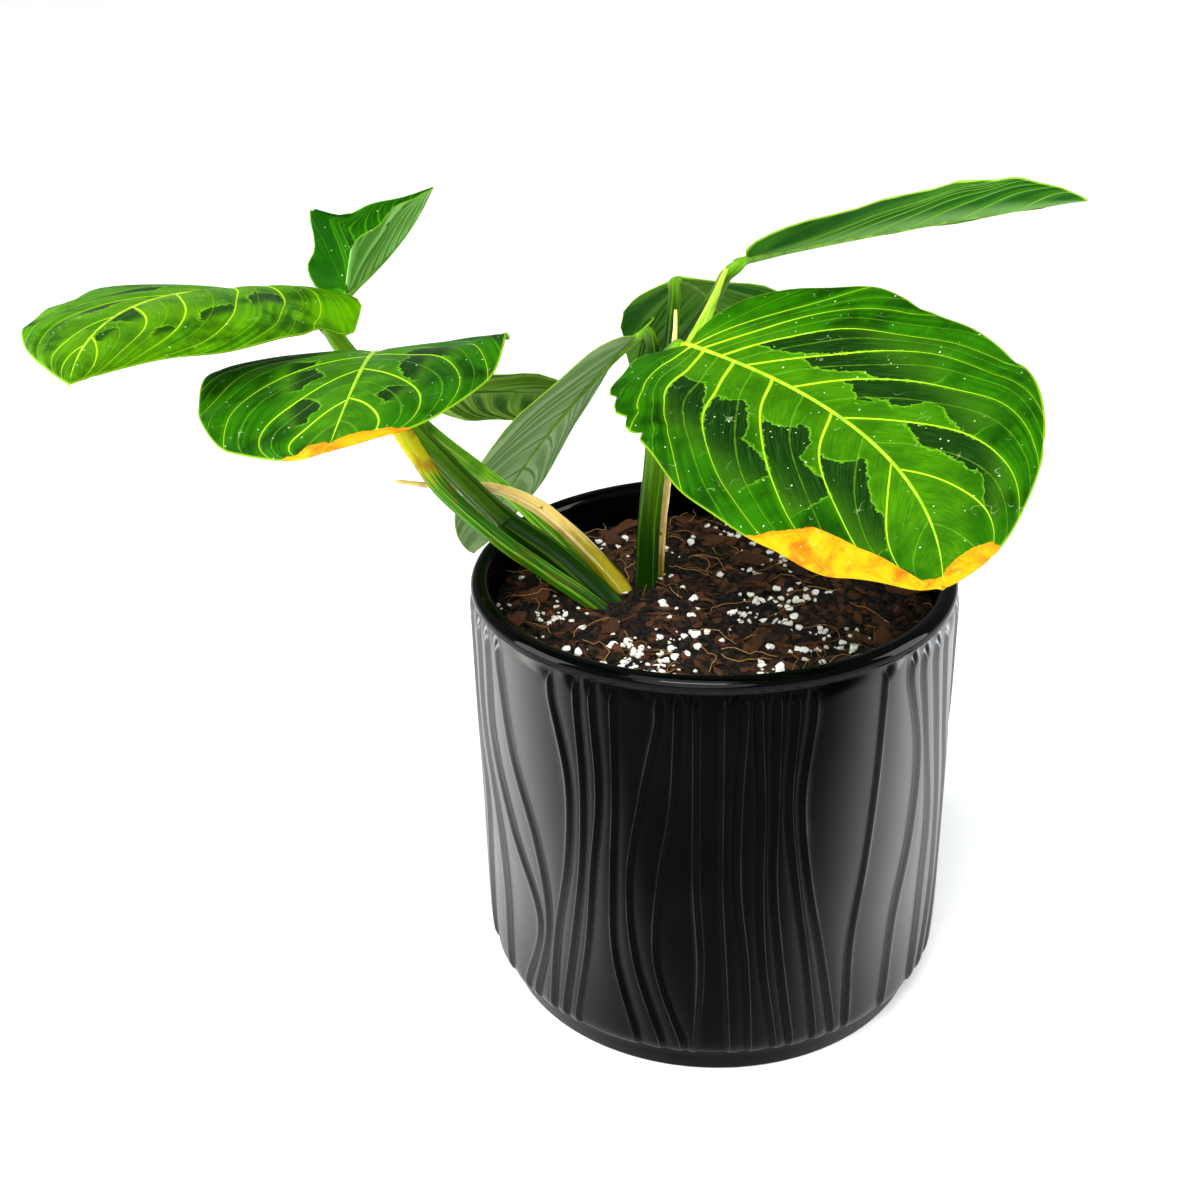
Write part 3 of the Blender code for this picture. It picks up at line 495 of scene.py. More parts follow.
leaves = {
    "front_right": {
        "base": (-6.5, -1, 179), "length": 130.5, "heading": (-36.5, -61), "climb": (-5, 0.5),
        "roll": (6, 12.5), "widest": 0.28, "roundness": (2.25, 1.95, 1.28), "wave": (5, 0.7),
        "patchReach": (0.26, 16.0),
        "left": {"width": 39.5, "fold": (17, -9.5), "curl": (-3, -10), "lobe": 1.5,
            "notches": [(0.3, 0.012, 0.8), (0.52, 0.014, 0.7), (0.72, 0.01, 0.6)],
            "bumps": [(0.3, 0.15, 2.5, -3), (0.6, 0.15, 3.5, 0.5), (0.85, 0.1, -2, -2)],
            "veins": [(0.01, 0.04, 0.11, 0.2), (0.03, 0.09, 0.17, 0.34), (0.08, 0.15, 0.28, 0.56),
                (0.14, 0.255, 0.385, 0.68), (0.265, 0.37, 0.55, 0.77),
                (0.415, 0.56, 0.72, 0.855), (0.625, 0.755, 0.85, 0.95)],
            "patches": [[(0.17, 0.21), (0.18, 0.34), (0.24, 0.53), (0.29, 0.6), (0.31, 0.51), (0.23, 0.29)],
                [(0.28, 0.2), (0.25, 0.23), (0.32, 0.43), (0.35, 0.49), (0.35, 0.36)],
                [(0.42, 0.25), (0.42, 0.12), (0.36, 0.24), (0.43, 0.43), (0.49, 0.51),
                    (0.52, 0.49), (0.48, 0.27)],
                [(0.6, 0.2), (0.54, 0.23), (0.62, 0.39), (0.7, 0.56), (0.75, 0.59), (0.73, 0.45)]],
            "burn": [(0.0, 0.965), (0.3, 0.935), (0.6, 0.91), (0.8, 0.9), (1.0, 0.91)]},
        "right": {"width": 41.5, "fold": (7, -25), "curl": (-4, -13), "lobe": 6,
            "notches": [(0.03, 0.02, 2.5), (0.1, 0.014, 3.2), (0.16, 0.012, 2.6), (0.235, 0.01, 2.2)],
            "bumps": [(0.06, 0.08, -1.5, 3), (0.25, 0.15, 3.5, -0.5), (0.6, 0.15, 0.5, -1.5),
                (0.88, 0.1, 2.5, -0.5)],
            "veins": [(0.01, 0.03, 0.07, 0.21), (0.04, 0.085, 0.15, 0.4), (0.115, 0.18, 0.3, 0.66),
                (0.215, 0.315, 0.54, 0.84), (0.385, 0.51, 0.8, 0.93),
                (0.595, 0.76, 0.92, 0.975)],
            "patches": [[(0.16, 0.62), (0.13, 0.43), (0.15, 0.36), (0.22, 0.53), (0.2, 0.6)],
                [(0.27, 0.57), (0.23, 0.42), (0.25, 0.29), (0.34, 0.46), (0.35, 0.58), (0.33, 0.68)],
                [(0.34, 0.39), (0.34, 0.33), (0.38, 0.3), (0.39, 0.18), (0.45, 0.27),
                    (0.48, 0.43), (0.44, 0.58)],
                [(0.51, 0.29), (0.56, 0.22), (0.55, 0.1), (0.64, 0.24), (0.7, 0.31),
                    (0.69, 0.44), (0.59, 0.41)]],
            "burn": [(0.0, 0.97), (0.3, 0.965), (0.58, 0.955), (0.6, 0.77), (0.7, 0.66),
                (0.85, 0.62), (1.0, 0.57)]},
        "finish": ("topDeep", "underGreen", "ribBright"),
    },
    "mid_left": {
        "base": (-84.5, 3, 176), "length": 108, "heading": (-79.5, -7.5), "climb": (19.5, -24),
        "roll": (0.5, 10.5), "widest": 0.48, "roundness": (2.15, 1.9, 1.2), "wave": (4, 0.6),
        "left": {"width": 35.5, "fold": (3.5, -4), "curl": (-16.5, -6), "lobe": 4,
            "bumps": [(0.04, 0.06, 1, 0.5), (0.2, 0.12, 3, 0), (0.5, 0.2, 7.5, -2.5)],
            "veins": [(0.01, 0.05, 0.12, 0.25), (0.05, 0.15, 0.28, 0.5), (0.14, 0.28, 0.45, 0.7),
                (0.27, 0.44, 0.62, 0.84), (0.5, 0.66, 0.8, 0.94), (0.74, 0.84, 0.92, 0.98)],
            "patches": [[(0.52, 0.29), (0.5, 0.35), (0.57, 0.45), (0.64, 0.47), (0.68, 0.45),
                    (0.66, 0.36), (0.59, 0.29)],
                [(0.4, 0.23), (0.37, 0.42), (0.51, 0.59), (0.58, 0.69), (0.55, 0.54), (0.49, 0.32)],
                [(0.76, 0.24), (0.73, 0.3), (0.74, 0.39), (0.77, 0.45), (0.8, 0.41), (0.79, 0.3)]],
            "burn": [(0.0, 0.975), (0.5, 0.94), (0.8, 0.92), (1.0, 0.9)]},
        "right": {"width": 37, "fold": (10, -20.5), "curl": (-4, -13.5), "lobe": 5,
            "bumps": [(0.1, 0.1, -3, -1.5), (0.35, 0.15, 0.5, 1.5)],
            "veins": [(0.01, 0.04, 0.1, 0.22), (0.06, 0.12, 0.22, 0.42), (0.16, 0.24, 0.34, 0.55),
                (0.31, 0.4, 0.53, 0.74), (0.5, 0.65, 0.75, 0.9), (0.75, 0.84, 0.89, 0.97)],
            "patches": [[(0.37, 0.47), (0.37, 0.3), (0.43, 0.35), (0.43, 0.44)],
                [(0.49, 0.43), (0.46, 0.37), (0.45, 0.28), (0.54, 0.21), (0.56, 0.3),
                    (0.59, 0.34), (0.54, 0.42)],
                [(0.7, 0.41), (0.67, 0.31), (0.7, 0.26), (0.76, 0.2), (0.81, 0.35), (0.78, 0.41),
                    (0.73, 0.47)]],
            "burn": [(0.0, 0.975), (0.5, 0.94), (0.8, 0.94), (1.0, 0.92)]},
        "finish": ("topDeep", "underGreen", "ribBright"),
    },
    "far_left": {
        "base": (-119, 17.5, 188), "length": 113.5, "heading": (-111.5, 37.5), "climb": (17, -22),
        "roll": (5, -5), "widest": 0.13, "roundness": (2.5, 1.35, 0.98), "wave": (4, 0.6),
        "left": {"width": 39, "fold": (11.5, -22.5), "curl": (-27.5, -8.5), "lobe": 4,
            "notches": [(0.12, 0.02, 1.6), (0.93, 0.012, 1.6)],
            "bumps": [(0.05, 0.06, 1.5, -1.5), (0.2, 0.12, -5.5, 0.5), (0.5, 0.2, 1, 9)],
            "veins": [(0.01, 0.03, 0.1, 0.36), (0.03, 0.1, 0.26, 0.62), (0.1, 0.24, 0.52, 0.78),
                (0.3, 0.49, 0.7, 0.88), (0.5, 0.64, 0.84, 0.95), (0.75, 0.84, 0.92, 0.98)],
            "patches": [[(0.3, 0.48), (0.22, 0.43), (0.18, 0.51), (0.21, 0.58), (0.29, 0.63), (0.37, 0.61)],
                [(0.52, 0.46), (0.48, 0.47), (0.41, 0.51), (0.43, 0.57), (0.5, 0.59), (0.55, 0.56)],
                [(0.43, 0.0), (0.62, 0.0), (0.64, 0.05), (0.6, 0.12), (0.56, 0.18)],
                [(0.73, 0.02), (0.71, 0.18), (0.75, 0.23), (0.77, 0.09)],
                [(0.67, 0.46), (0.63, 0.48), (0.65, 0.54), (0.69, 0.55)]]},
        "right": {"width": 36.5, "fold": (9, -13), "curl": (-12.5, -18), "lobe": -5.5,
            "bumps": [(0.6, 0.2, 1.5, 1.5)],
            "veins": [(0.02, 0.08, 0.2, 0.44), (0.13, 0.27, 0.46, 0.7), (0.31, 0.46, 0.66, 0.84),
                (0.59, 0.75, 0.84, 0.94), (0.8, 0.88, 0.94, 0.98)],
            "patches": [[(0.2, 0.3), (0.32, 0.28), (0.36, 0.46), (0.28, 0.5)],
                [(0.44, 0.16), (0.56, 0.2), (0.58, 0.4), (0.5, 0.42)]]},
        "finish": ("topLight", "underGreen", "ribBright"),
    },
    "upper_left": {
        "base": (-94, 15, 188), "length": 41, "heading": (37, 39.5), "climb": (29.5, 2),
        "roll": (0, -10), "widest": 0.37, "roundness": (2.75, 0.7, 1.14), "wave": (3, 0.5),
        "left": {"width": 26.5, "fold": (48, -15.5), "curl": (7.5, -13), "lobe": 5,
            "bumps": [(0.15, 0.15, -4.5, -5.5), (0.45, 0.15, -3.5, -0.5)]},
        "right": {"width": 25.5, "fold": (51, -5.5), "curl": (13, -4.5), "lobe": -4,
            "bumps": [(0.25, 0.2, -4.5, -1.5)]},
        "finish": ("topPlain", "underFresh", "ribDark"),
    },
    "top_right": {
        "base": (8.6, 14.1, 196.7), "length": 110.4, "heading": (32, -1.5), "climb": (2, -3),
        "roll": (2, -5), "widest": 0.42, "roundness": (1.85, 1.55, 1.04), "wave": (5, 0.5),
        "left": {"width": 21, "fold": (-14, 0), "curl": (-8, 0), "lobe": 4},
        "right": {"width": 22.5, "fold": (37, 4.5), "curl": (0, 0), "lobe": 8,
            "bumps": [(0.1, 0.1, 2, -2.5), (0.7, 0.2, 1, -0.5)]},
        "finish": ("topDeep", "underGreen", "ribDark"),
    },
    "hanging": {
        "base": (-20.3, 32.4, 171.4), "length": 100.4, "heading": (155.5, -12.5), "climb": (-44, -15),
        "roll": (17, 4), "widest": 0.42, "roundness": (2.25, 1.85, 1.2), "wave": (4, 0.4),
        "left": {"width": 27.3, "fold": (-0.5, -16), "curl": (0, 0), "lobe": 2.5,
            "bumps": [(0.2, 0.15, -2.5, -1), (0.5, 0.2, -3.5, 0)]},
        "right": {"width": 26.8, "fold": (25.5, -11.5), "curl": (0, 0), "lobe": 4,
            "bumps": [(0.2, 0.15, 2.5, -0.5), (0.5, 0.2, 3, -2)]},
        "finish": ("topDeep", "underGrey", "ribDark"),
    },
    "back": {
        "base": (-9.2, 39.6, 184.9), "length": 94.4, "heading": (71.5, -6), "climb": (-17, -60),
        "roll": (3.5, 2), "widest": 0.45, "roundness": (1.95, 1.9, 1.14), "wave": (5, 1.2),
        "left": {"width": 34.7, "fold": (-30.5, 0), "curl": (0, 0), "lobe": 2.5,
            "notches": [(0.2, 0.03, 1.6), (0.34, 0.025, 1.2), (0.5, 0.03, 1.5), (0.66, 0.02, 1.0)],
            "bumps": [(0.3, 0.25, 1, -4.5)]},
        "right": {"width": 35.7, "fold": (0, -1.5), "curl": (0, 0), "lobe": 4.5,
            "notches": [(0.16, 0.03, 1.4), (0.3, 0.02, 1.0), (0.45, 0.03, 1.6), (0.6, 0.02, 1.2)],
            "bumps": [(0.3, 0.25, 2.5, 0)]},
        "finish": ("topDeep", "underShade", "ribDark"),
    },
    "behind_left": {
        "base": (-86, 30, 154), "length": 73, "heading": (47, 4.5), "climb": (-4.5, -20),
        "roll": (-37.5, 0), "widest": 0.49, "roundness": (2.05, 2.1, 1.2), "wave": (3, 0.6),
        "left": {"width": 20, "fold": (21, -36.5), "curl": (0, 0), "lobe": 3.7},
        "right": {"width": 20, "fold": (0, -29.5), "curl": (0, 0), "lobe": 4},
        "finish": ("topDeep", "underPale", "ribDark"),
    },
}
bladeMake = {
    "thickness": 0.5,     # at the midrib, in mm
    "columns": 38,        # steps from the midrib to the margin
    "quilting": 0.045,    # height of the cushions over the width of a gap
    "thread": 0.12,       # height of a vein on the upper side
    "ruffle": 0.35,       # small uneven waves of the margin
    # where a vein starts, and how much of the rest of the leaf it has passed at each third
    "plainVeins": (0.01, 0.05, 0.12, 0.21, 0.32, 0.45, 0.6, 0.78), "veinLean": (0.0, 0.13, 0.31, 0.6),
    "plainPatches": (((0.16, 0.3), (0.26, 0.24), (0.33, 0.44), (0.24, 0.5)),
                     ((0.36, 0.26), (0.47, 0.2), (0.54, 0.4), (0.44, 0.48)),
                     ((0.58, 0.24), (0.67, 0.22), (0.74, 0.42), (0.64, 0.46))),
    "gapSteps": (0.0, 0.035, 0.08, 0.14, 0.22, 0.32, 0.43, 0.54, 0.65, 0.75, 0.84, 0.91, 0.96),
    "sink": 0.15,         # how far the blade's middle lies below the solid's, in mm
    # the midrib: places along the leaf and its radii there, steps, sides
    "ribPlaces": (0, 0.1, 0.6, 1), "ribRadii": (1.15, 0.85, 0.55, 0.22), "ribSteps": 70, "ribSides": 10,
}


def midribWay(leaf, s):
    # the way ahead along the midrib, and the level way to its left
    heading, climb = (np.radians(leaf[key][0] + leaf[key][1] * s) for key in ("heading", "climb"))
    ahead = np.stack([np.cos(climb) * np.cos(heading), np.cos(climb) * np.sin(heading), np.sin(climb)], -1)
    return ahead, np.stack([-np.sin(heading), np.cos(heading), np.zeros_like(heading)], -1)


def leafFrame(leaf, s):
    steps = 80
    ahead, _ = midribWay(leaf, (np.arange(steps) + 0.5) / steps)
    track = np.concatenate([np.zeros((1, 3)), np.cumsum(ahead, 0)]) * leaf["length"] / steps
    track = track + np.array(leaf["base"])
    places = np.linspace(0, 1, steps + 1)
    place = np.stack([smoothThrough(s, places, track[:, axis]) for axis in range(3)], -1)
    ahead, flatLeft = midribWay(leaf, s)
    roll = np.radians(leaf["roll"][0] + leaf["roll"][1] * s)[..., None]
    flatUp = np.cross(ahead, flatLeft)
    left = np.cos(roll) * flatLeft + np.sin(roll) * flatUp
    up = np.cos(roll) * flatUp - np.sin(roll) * flatLeft
    return place, ahead, left, up


def widthShare(leaf, s):
    baseRound, tipRound, tipPoint = leaf["roundness"]
    widest = leaf["widest"]
    low = np.clip(1 - np.clip((widest - s) / widest, 0, 1) ** baseRound, 0, 1) ** (1 / baseRound)
    high = np.clip(1 - np.clip((s - widest) / (1 - widest), 0, 1) ** tipRound, 0, 1) ** (1 / tipPoint)
    return np.where(s < widest, low, high)


def bladeSurface(leaf, side, s, t):
    # the blade's middle surface, and its half width, as the solid has them
    place, ahead, left, up = leafFrame(leaf, s)
    half = leaf["left" if side > 0 else "right"]
    least = np.interp(s, (0.0, 0.9, 1.0), (0.9, 0.9, 0.25))
    width = np.maximum(least, half["width"] * widthShare(leaf, s))
    rise = np.zeros_like(s)
    for where, spread, lift, stretch in half.get("bumps", ()):
        near = np.exp(-((s - where) / spread) ** 2)
        width = width + stretch * near * np.minimum(1.0, 4.0 * width / half["width"])
        rise = rise + lift * near
    waves, height = leaf["wave"]
    rise = rise + height * np.sin(turn * waves * s + side) * np.minimum(1.0, width / half["width"])
    fold = np.radians(half["fold"][0] + half["fold"][1] * s)
    curl = np.radians(half["curl"][0] + half["curl"][1] * s)
    curl = np.where(np.abs(curl) < 0.001, 0.001, curl)
    outward = (np.sin(fold + curl * t) - np.sin(fold)) / curl * width
    upward = (np.cos(fold) - np.cos(fold + curl * t)) / curl * width + rise * t * t
    back = half["lobe"] * (1 - s) ** 4 * t * t * np.minimum(1.0, 3.3 * width / half["width"])
    point = place + side * outward[..., None] * left + upward[..., None] * up - back[..., None] * ahead
    return point, width


def veinLines(half):
    # the veins between the edges at the base and the tip
    plain = [[start + lean * (1 - start) for lean in bladeMake["veinLean"]]
             for start in bladeMake["plainVeins"]]
    return [(0.0, 0.0, 0.0, 0.0), *half.get("veins", plain), (0.9985, 0.999, 0.9993, 0.9995)]


def unitNormals(points):
    normal = np.cross(np.gradient(points, axis=0), np.gradient(points, axis=1))
    return normal / np.maximum(np.linalg.norm(normal, axis=-1, keepdims=True), 1e-9)


def innerEdge(corners, s):
    # the side of a patch that faces the midrib, carried on level past its ends
    places = np.linspace(min(c[0] for c in corners), max(c[0] for c in corners), 26)[1:-1]
    edge = np.ones(places.shape)
    for k in range(len(corners)):
        (sa, ta), (sb, tb) = sorted((corners[k - 1], corners[k]))
        here = (places >= sa) & (places <= sb)
        crossing = ta + (tb - ta) * (places - sa) / max(sb - sa, 0.001)
        edge = np.where(here, np.minimum(edge, crossing), edge)
    return np.interp(s, places, edge)


def buildHalf(name, leaf, side, finishes):
    half = leaf["left" if side > 0 else "right"]
    lines = veinLines(half)
    gaps = len(lines) - 1
    t = np.linspace(0.0, 1.0, bladeMake["columns"])
    knots = (0.0, 0.33, 0.67, 1.0)
    tracks = np.array([smoothThrough(t, knots, line) for line in lines])
    tracks = np.maximum.accumulate(np.clip(tracks, 0.0, 0.9995), axis=0)
    # rows of points from vein to vein, closer together at the base and the tip
    steps = [np.array(bladeMake["gapSteps"])] * gaps
    steps[0] = np.linspace(0, 0.95, 15) ** 2
    steps[-1] = 1 - (1 - np.linspace(0, 0.96, 17)) ** 1.7
    phases = np.concatenate([gap + rows for gap, rows in enumerate(steps)] + [[gaps]])
    low = np.minimum(phases.astype(int), gaps - 1)
    part = (phases - low)[:, None]
    s = (1 - part) * tracks[low] + part * tracks[low + 1]
    torn = np.zeros(s.shape)
    for where, spread, depth in half.get("notches", ()):
        torn = torn + depth / half["width"] * np.exp(-np.abs((s - where) / spread) ** 1.5)
    ts = t * (1 - torn * t ** 5)
    middle, width = bladeSurface(leaf, side, s, ts)
    normal = unitNormals(middle)
    if side < 0:
        normal = -normal
    first, _ = bladeSurface(leaf, side, tracks[low], np.broadcast_to(t, s.shape))
    second, _ = bladeSurface(leaf, side, tracks[low + 1], np.broadcast_to(t, s.shape))
    gapWidth = np.linalg.norm(second - first, axis=-1) * 0.8 + 0.2

    # cushions between the veins, a thread along each, and a crisp uneven margin
    inner = smoothStep(ts, 0.02, 0.14) * (1 - smoothStep(t, 0.9, 1.0))
    between = 1 - np.abs(2 * part - 1) ** 2.4
    ends = np.where((low == 0) | (low == gaps - 1), 0.4, 1.0)[:, None]
    swell = np.minimum(bladeMake["quilting"] * gapWidth, 0.6) * between * inner * ends
    apart = np.minimum(part, 1 - part) * gapWidth
    thread = bladeMake["thread"] * np.exp(-(apart / 0.5) ** 2) * inner
    grain = np.array([noise.noise(Vector(p * 0.09)) for p in middle.reshape(-1, 3)]).reshape(s.shape)
    swell = swell + bladeMake["ruffle"] * grain * ts ** 3
    thick = bladeMake["thickness"] * (0.5 - 0.22 * ts[..., None] ** 3)
    upper = middle + normal * (swell[..., None] - bladeMake["sink"] + thread[..., None] + thick)
    lower = middle + normal * (swell[..., None] - bladeMake["sink"] - 1.5 * thread[..., None] - thick)

    rows, columns = s.shape
    total = rows * columns
    faces = gridFaces(rows, columns)
    under = [tuple(total + index for index in reversed(face)) for face in faces]
    border = list(range(columns))
    border += [row * columns + columns - 1 for row in range(1, rows)]
    border += [(rows - 1) * columns + k for k in range(columns - 2, -1, -1)]
    border += [row * columns for row in range(rows - 2, 0, -1)]
    rim = []
    for k, a in enumerate(border):
        b = border[(k + 1) % len(border)]
        rim.append((b, a, total + a, total + b))
    slots = [0] * len(faces) + [1] * len(under) + [0] * len(rim)
    faces = faces + under + rim
    if side < 0:
        faces = [tuple(reversed(face)) for face in faces]
    points = np.concatenate([upper.reshape(-1, 3), lower.reshape(-1, 3)])
    piece = newPiece(name, points, faces, finishes[:2], slots)

    # numbers for the material: the dark patches and the burnt margin, in mm inside their edge
    field = np.full(s.shape, -9.0)
    share = np.ones(s.shape)
    for corners in half.get("patches", bladeMake["plainPatches"]):
        centre = np.mean(corners, axis=0)
        here = low == int(np.sum(tracks[:, int(centre[1] * (len(t) - 1))] < centre[0])) - 1
        near, far = min(c[1] for c in corners), max(c[1] for c in corners)
        fade, slack = leaf.get("patchReach", (0.06, 1.0))
        start, stop = min(c[0] for c in corners), max(c[0] for c in corners)
        depth = (ts[here] - innerEdge(corners, s[here])) * half["width"]
        depth = np.minimum(depth, (0.47 - np.abs(part[here] - 0.5)) * gapWidth[here])
        ends = np.minimum(s[here] - start, stop - s[here]) * leaf["length"] + slack
        field[here] = np.maximum(np.minimum(depth, ends), field[here])
        share[here] = 1 - smoothStep(ts[here], 0.4 * near + 0.6 * far, far + fade)
    burn = np.full(s.shape, -9.0)
    if "burn" in half:
        where = np.array(half["burn"])
        burn = (s - np.interp(ts, where[:, 0], where[:, 1])) * leaf["length"]
    both = {"veinPhase": np.broadcast_to(phases[:, None], s.shape), "veinGap": gapWidth,
            "leafAcross": ts, "edgeDistance": (1 - t) * width, "patchField": field,
            "patchShare": share, "burnField": burn}
    for label, values in both.items():
        paint(piece, label, np.concatenate([values.ravel(), values.ravel()]))
    return piece


def buildLeaf(name, leaf):
    finishes = [materials[key] for key in leaf["finish"]]
    halves = [buildHalf(name + side, leaf, way, finishes) for side, way in (("Left", 1), ("Right", -1))]
    # the midrib hangs a little below the blade and starts inside the petiole
    s = np.linspace(0.0, 0.985, bladeMake["ribSteps"])
    place, ahead, _, up = leafFrame(leaf, s)
    size = np.interp(s, bladeMake["ribPlaces"], bladeMake["ribRadii"])
    rib = place - up * (0.35 * size[:, None] + 0.05)
    rib = np.concatenate([[place[0] - 1.6 * ahead[0] - 0.8 * up[0]], rib])
    size = np.concatenate([[1.1], size])
    rib = stalk(name + "Rib", [(rib, size)], finishes[2], bladeMake["ribSides"])
    return joinPieces(name, halves + [rib])


def camel(name):
    first, *rest = name.split("_")
    return first + "".join(word.capitalize() for word in rest)


for name, leaf in leaves.items():
    blade = buildLeaf(camel("blade_" + name), leaf)
    under = name in ("top_right", "hanging", "back", "behind_left")
    placePiece(blade, "leaf_underside" if under else "leaf_green", "blade_" + name)
print("leaf blades made")


# Pot

potShape = {
    "height": 119.1, "footHeight": 7.6, "stepRadius": 61.4, "bodyRadius": 63.1, "roundTop": 33.0,
    "lapDepth": 0.9, "lapStep": 0.75, "bulge": 0.34, "lip": 0.08,
    # radius and height of each ring, from the hollow under the foot up, and from the collar to the floor
    "footRings": ((54.2, 0.9), (55.1, 0.0), (58.0, 0.0), (58.55, 0.35), (58.75, 0.9), (59.4, 4.5),
                  (59.9, 7.2), (60.15, 7.7), (60.7, 7.9)),
    "rimRings": ((63.25, 116.1), (63.5, 116.6), (63.48, 117.4), (63.15, 118.1), (62.55, 118.75),
                 (61.7, 119.05), (60.9, 119.1), (60.0, 118.95), (59.2, 118.5), (58.65, 117.5),
                 (58.5, 116.0), (58.5, 100.0), (58.5, 60.0), (58.5, 13.0), (57.3, 9.6), (54.5, 8.0)),
    # first height, last height and count of the lapped rings
    "levels": ((8.6, 14.0, 8), (15.5, 98.0, 42), (99.5, 109.0, 6), (109.8, 115.4, 15)),
    # heights over which the laps grow from the foot, and end, dip and lose their crests at the collar
    "growOver": (8.6, 12.0), "endOver": (112.6, 116.2), "dipOver": (114.4, 116.2),
    "plainOver": (111.0, 115.0), "dip": 0.25,
    # the angle of each edge in view, in degrees, at five heights
    "lapHeights": (108, 85, 62, 38, 12),
    "lapEdges": (
        (-76, -76, -70, -72, -74), (-68, -68, -62, -59, -60), (-62, -62, -54, -44, -51),
        (-56, -52, -44, -41, -47), (-37, -33, -34, -38, -41), (-30, -29, -30, -33, -37),
        (-26, -25, -27, -29, -33), (-21, -21, -22, -22, -17), (-11, -15, -18, -17, -11),
        (-7, -8, -11, -12, -6), (-3, -3, -3, -2, -3), (2, 2, 2, 3, 4), (7, 6, 6, 8, 9),
        (10, 11, 11, 12, 15), (14, 14, 14, 16, 19), (18, 17, 19, 22, 25), (22, 20, 22, 26, 30),
        (40, 39, 37, 34, 34), (49, 54, 53, 48, 46), (54, 58, 62, 61, 59), (60, 64, 68, 69, 64),
        (66, 70, 76, 76, 70)),
    # the far side: its first and last degree, the gaps between its edges, how far they wander
    "backStart": 76.0, "backEnd": 278.0, "backGaps": (12, 5, 4, 15, 5, 9, 4, 18, 6, 5), "backWander": 5.0,
    "leastGap": 1.6,
}
# steps over a band, from edge to edge, and down the slope to the next
bandSteps = np.array(((0.0, 0.03, 0.09, 0.18, 0.3, 0.42, 0.54, 0.66, 0.78, 0.88, 0.95, 0.985, 1.0),))
slopeSteps = np.array(((0.08, 0.2, 0.35, 0.5, 0.65, 0.8, 0.92),))


def lapEdgesAt(height):
    edges = [float(smoothThrough(height, potShape["lapHeights"][::-1], row[::-1]))
             for row in potShape["lapEdges"]]
    start, end = edges[-1], edges[0] + 360.0
    gaps = []
    while sum(gaps) < potShape["backEnd"] - potShape["backStart"]:
        gaps.append(potShape["backGaps"][len(gaps) % len(potShape["backGaps"])])
    for number in range(1, len(gaps)):
        share = sum(gaps[:number]) / sum(gaps)
        phase = 0.3 * number + turn * height / potShape["height"]
        wander = potShape["backWander"] * math.sin(math.pi * share) * math.sin(phase)
        edges.append(start + share * (end - start) + wander)
    for k in range(1, len(edges)):
        edges[k] = max(edges[k], edges[k - 1] + potShape["leastGap"])
    return np.array(edges)


def bodyRadius(height):
    low = potShape["footHeight"] + 1.0
    u = min(1.0, max(0.0, (potShape["roundTop"] - height) / (potShape["roundTop"] - low)))
    step = potShape["stepRadius"]
    return step + (potShape["bodyRadius"] - step) * (1 - u ** 3.5) ** (1 / 3.5)


def lapRing(height):
    # angles and radii of one level of the lapped wall; each band rises to its edge, then drops
    edges = lapEdgesAt(height)
    following = np.roll(edges, -1)
    following[-1] += 360.0
    x = bandSteps   # share of the band
    step = np.minimum(potShape["lapStep"], (following - edges) * 0.27)[:, None]
    angles = edges[:, None] + step + x * (following - edges - 2 * step[:, 0])[:, None]
    low = np.where((edges < 0) | (edges > 180), 0.0, 1.0)[:, None]
    high = np.where((following < 0) | (following > 180), 1.0, 0.0)[:, None]
    relief = low + (high - low) * x ** 1.15 + potShape["bulge"] * 4 * x * (1 - x)
    relief = relief + potShape["lip"] * (high * x ** 22 + low * (1 - x) ** 22)
    reach = height + 1.8 * np.abs(2 * x - 1) ** 3
    relief = relief * (1 - smoothStep(reach, *potShape["endOver"]))
    relief = relief - potShape["dip"] * smoothStep(reach, *potShape["dipOver"])
    relief = relief * (1 - 0.5 * (1 - smoothStep(height, *potShape["growOver"])))
    crest = np.where(high > low, x, 1 - x) ** 44 * np.where(high == low, 0.5, 1.0)
    crest = crest * (1 - smoothStep(height, *potShape["plainOver"]))
    # the slope down to the next band
    nextAngle = np.roll(angles[:, :1], -1, axis=0)
    nextAngle[-1] += 360.0
    nextRelief = np.roll(relief[:, :1], -1, axis=0)
    slope = angles[:, -1:] + slopeSteps * (nextAngle - angles[:, -1:])
    fall = relief[:, -1:] + smoothStep(slopeSteps, 0, 1) * (nextRelief - relief[:, -1:])
    angles = np.hstack([angles, slope])
    relief = np.hstack([relief, fall])
    crest = np.hstack([crest, np.zeros(slope.shape)])
    return angles.ravel(), (bodyRadius(height) + potShape["lapDepth"] * relief).ravel(), crest.ravel()


def buildPot(wallGlaze, rimGlaze):
    heights = [height for level in potShape["levels"] for height in np.linspace(*level)]
    laps = [lapRing(height) for height in heights]
    foot = [(laps[0][0], radius, height) for radius, height in potShape["footRings"]]
    wall = [(angles, radii, height) for (angles, radii, _), height in zip(laps, heights)]
    rim = [(laps[-1][0], radius, height) for radius, height in potShape["rimRings"]]
    rings = foot + wall + rim
    count = len(laps[0][0])
    points = []
    for angles, radii, height in rings:
        a = np.radians(angles)
        points.append(np.stack([radii * np.sin(a), -radii * np.cos(a), np.full(count, height)], -1))
    faces = closedFaces(len(rings), count)
    wallFaces = (len(foot) - 1 + len(wall)) * count
    slots = [0] * wallFaces + [1] * (len(faces) - wallFaces)
    slots[-2] = 0   # the underside
    pot = newPiece("potBody", np.concatenate(points), faces, [wallGlaze, rimGlaze], slots)
    crests = [np.zeros(len(foot) * count)] + [crest for _, _, crest in laps] + [np.zeros(len(rim) * count)]
    paint(pot, "lapCrest", np.concatenate(crests))
    pot.data.set_sharp_from_angle(angle=math.radians(70))
    return pot


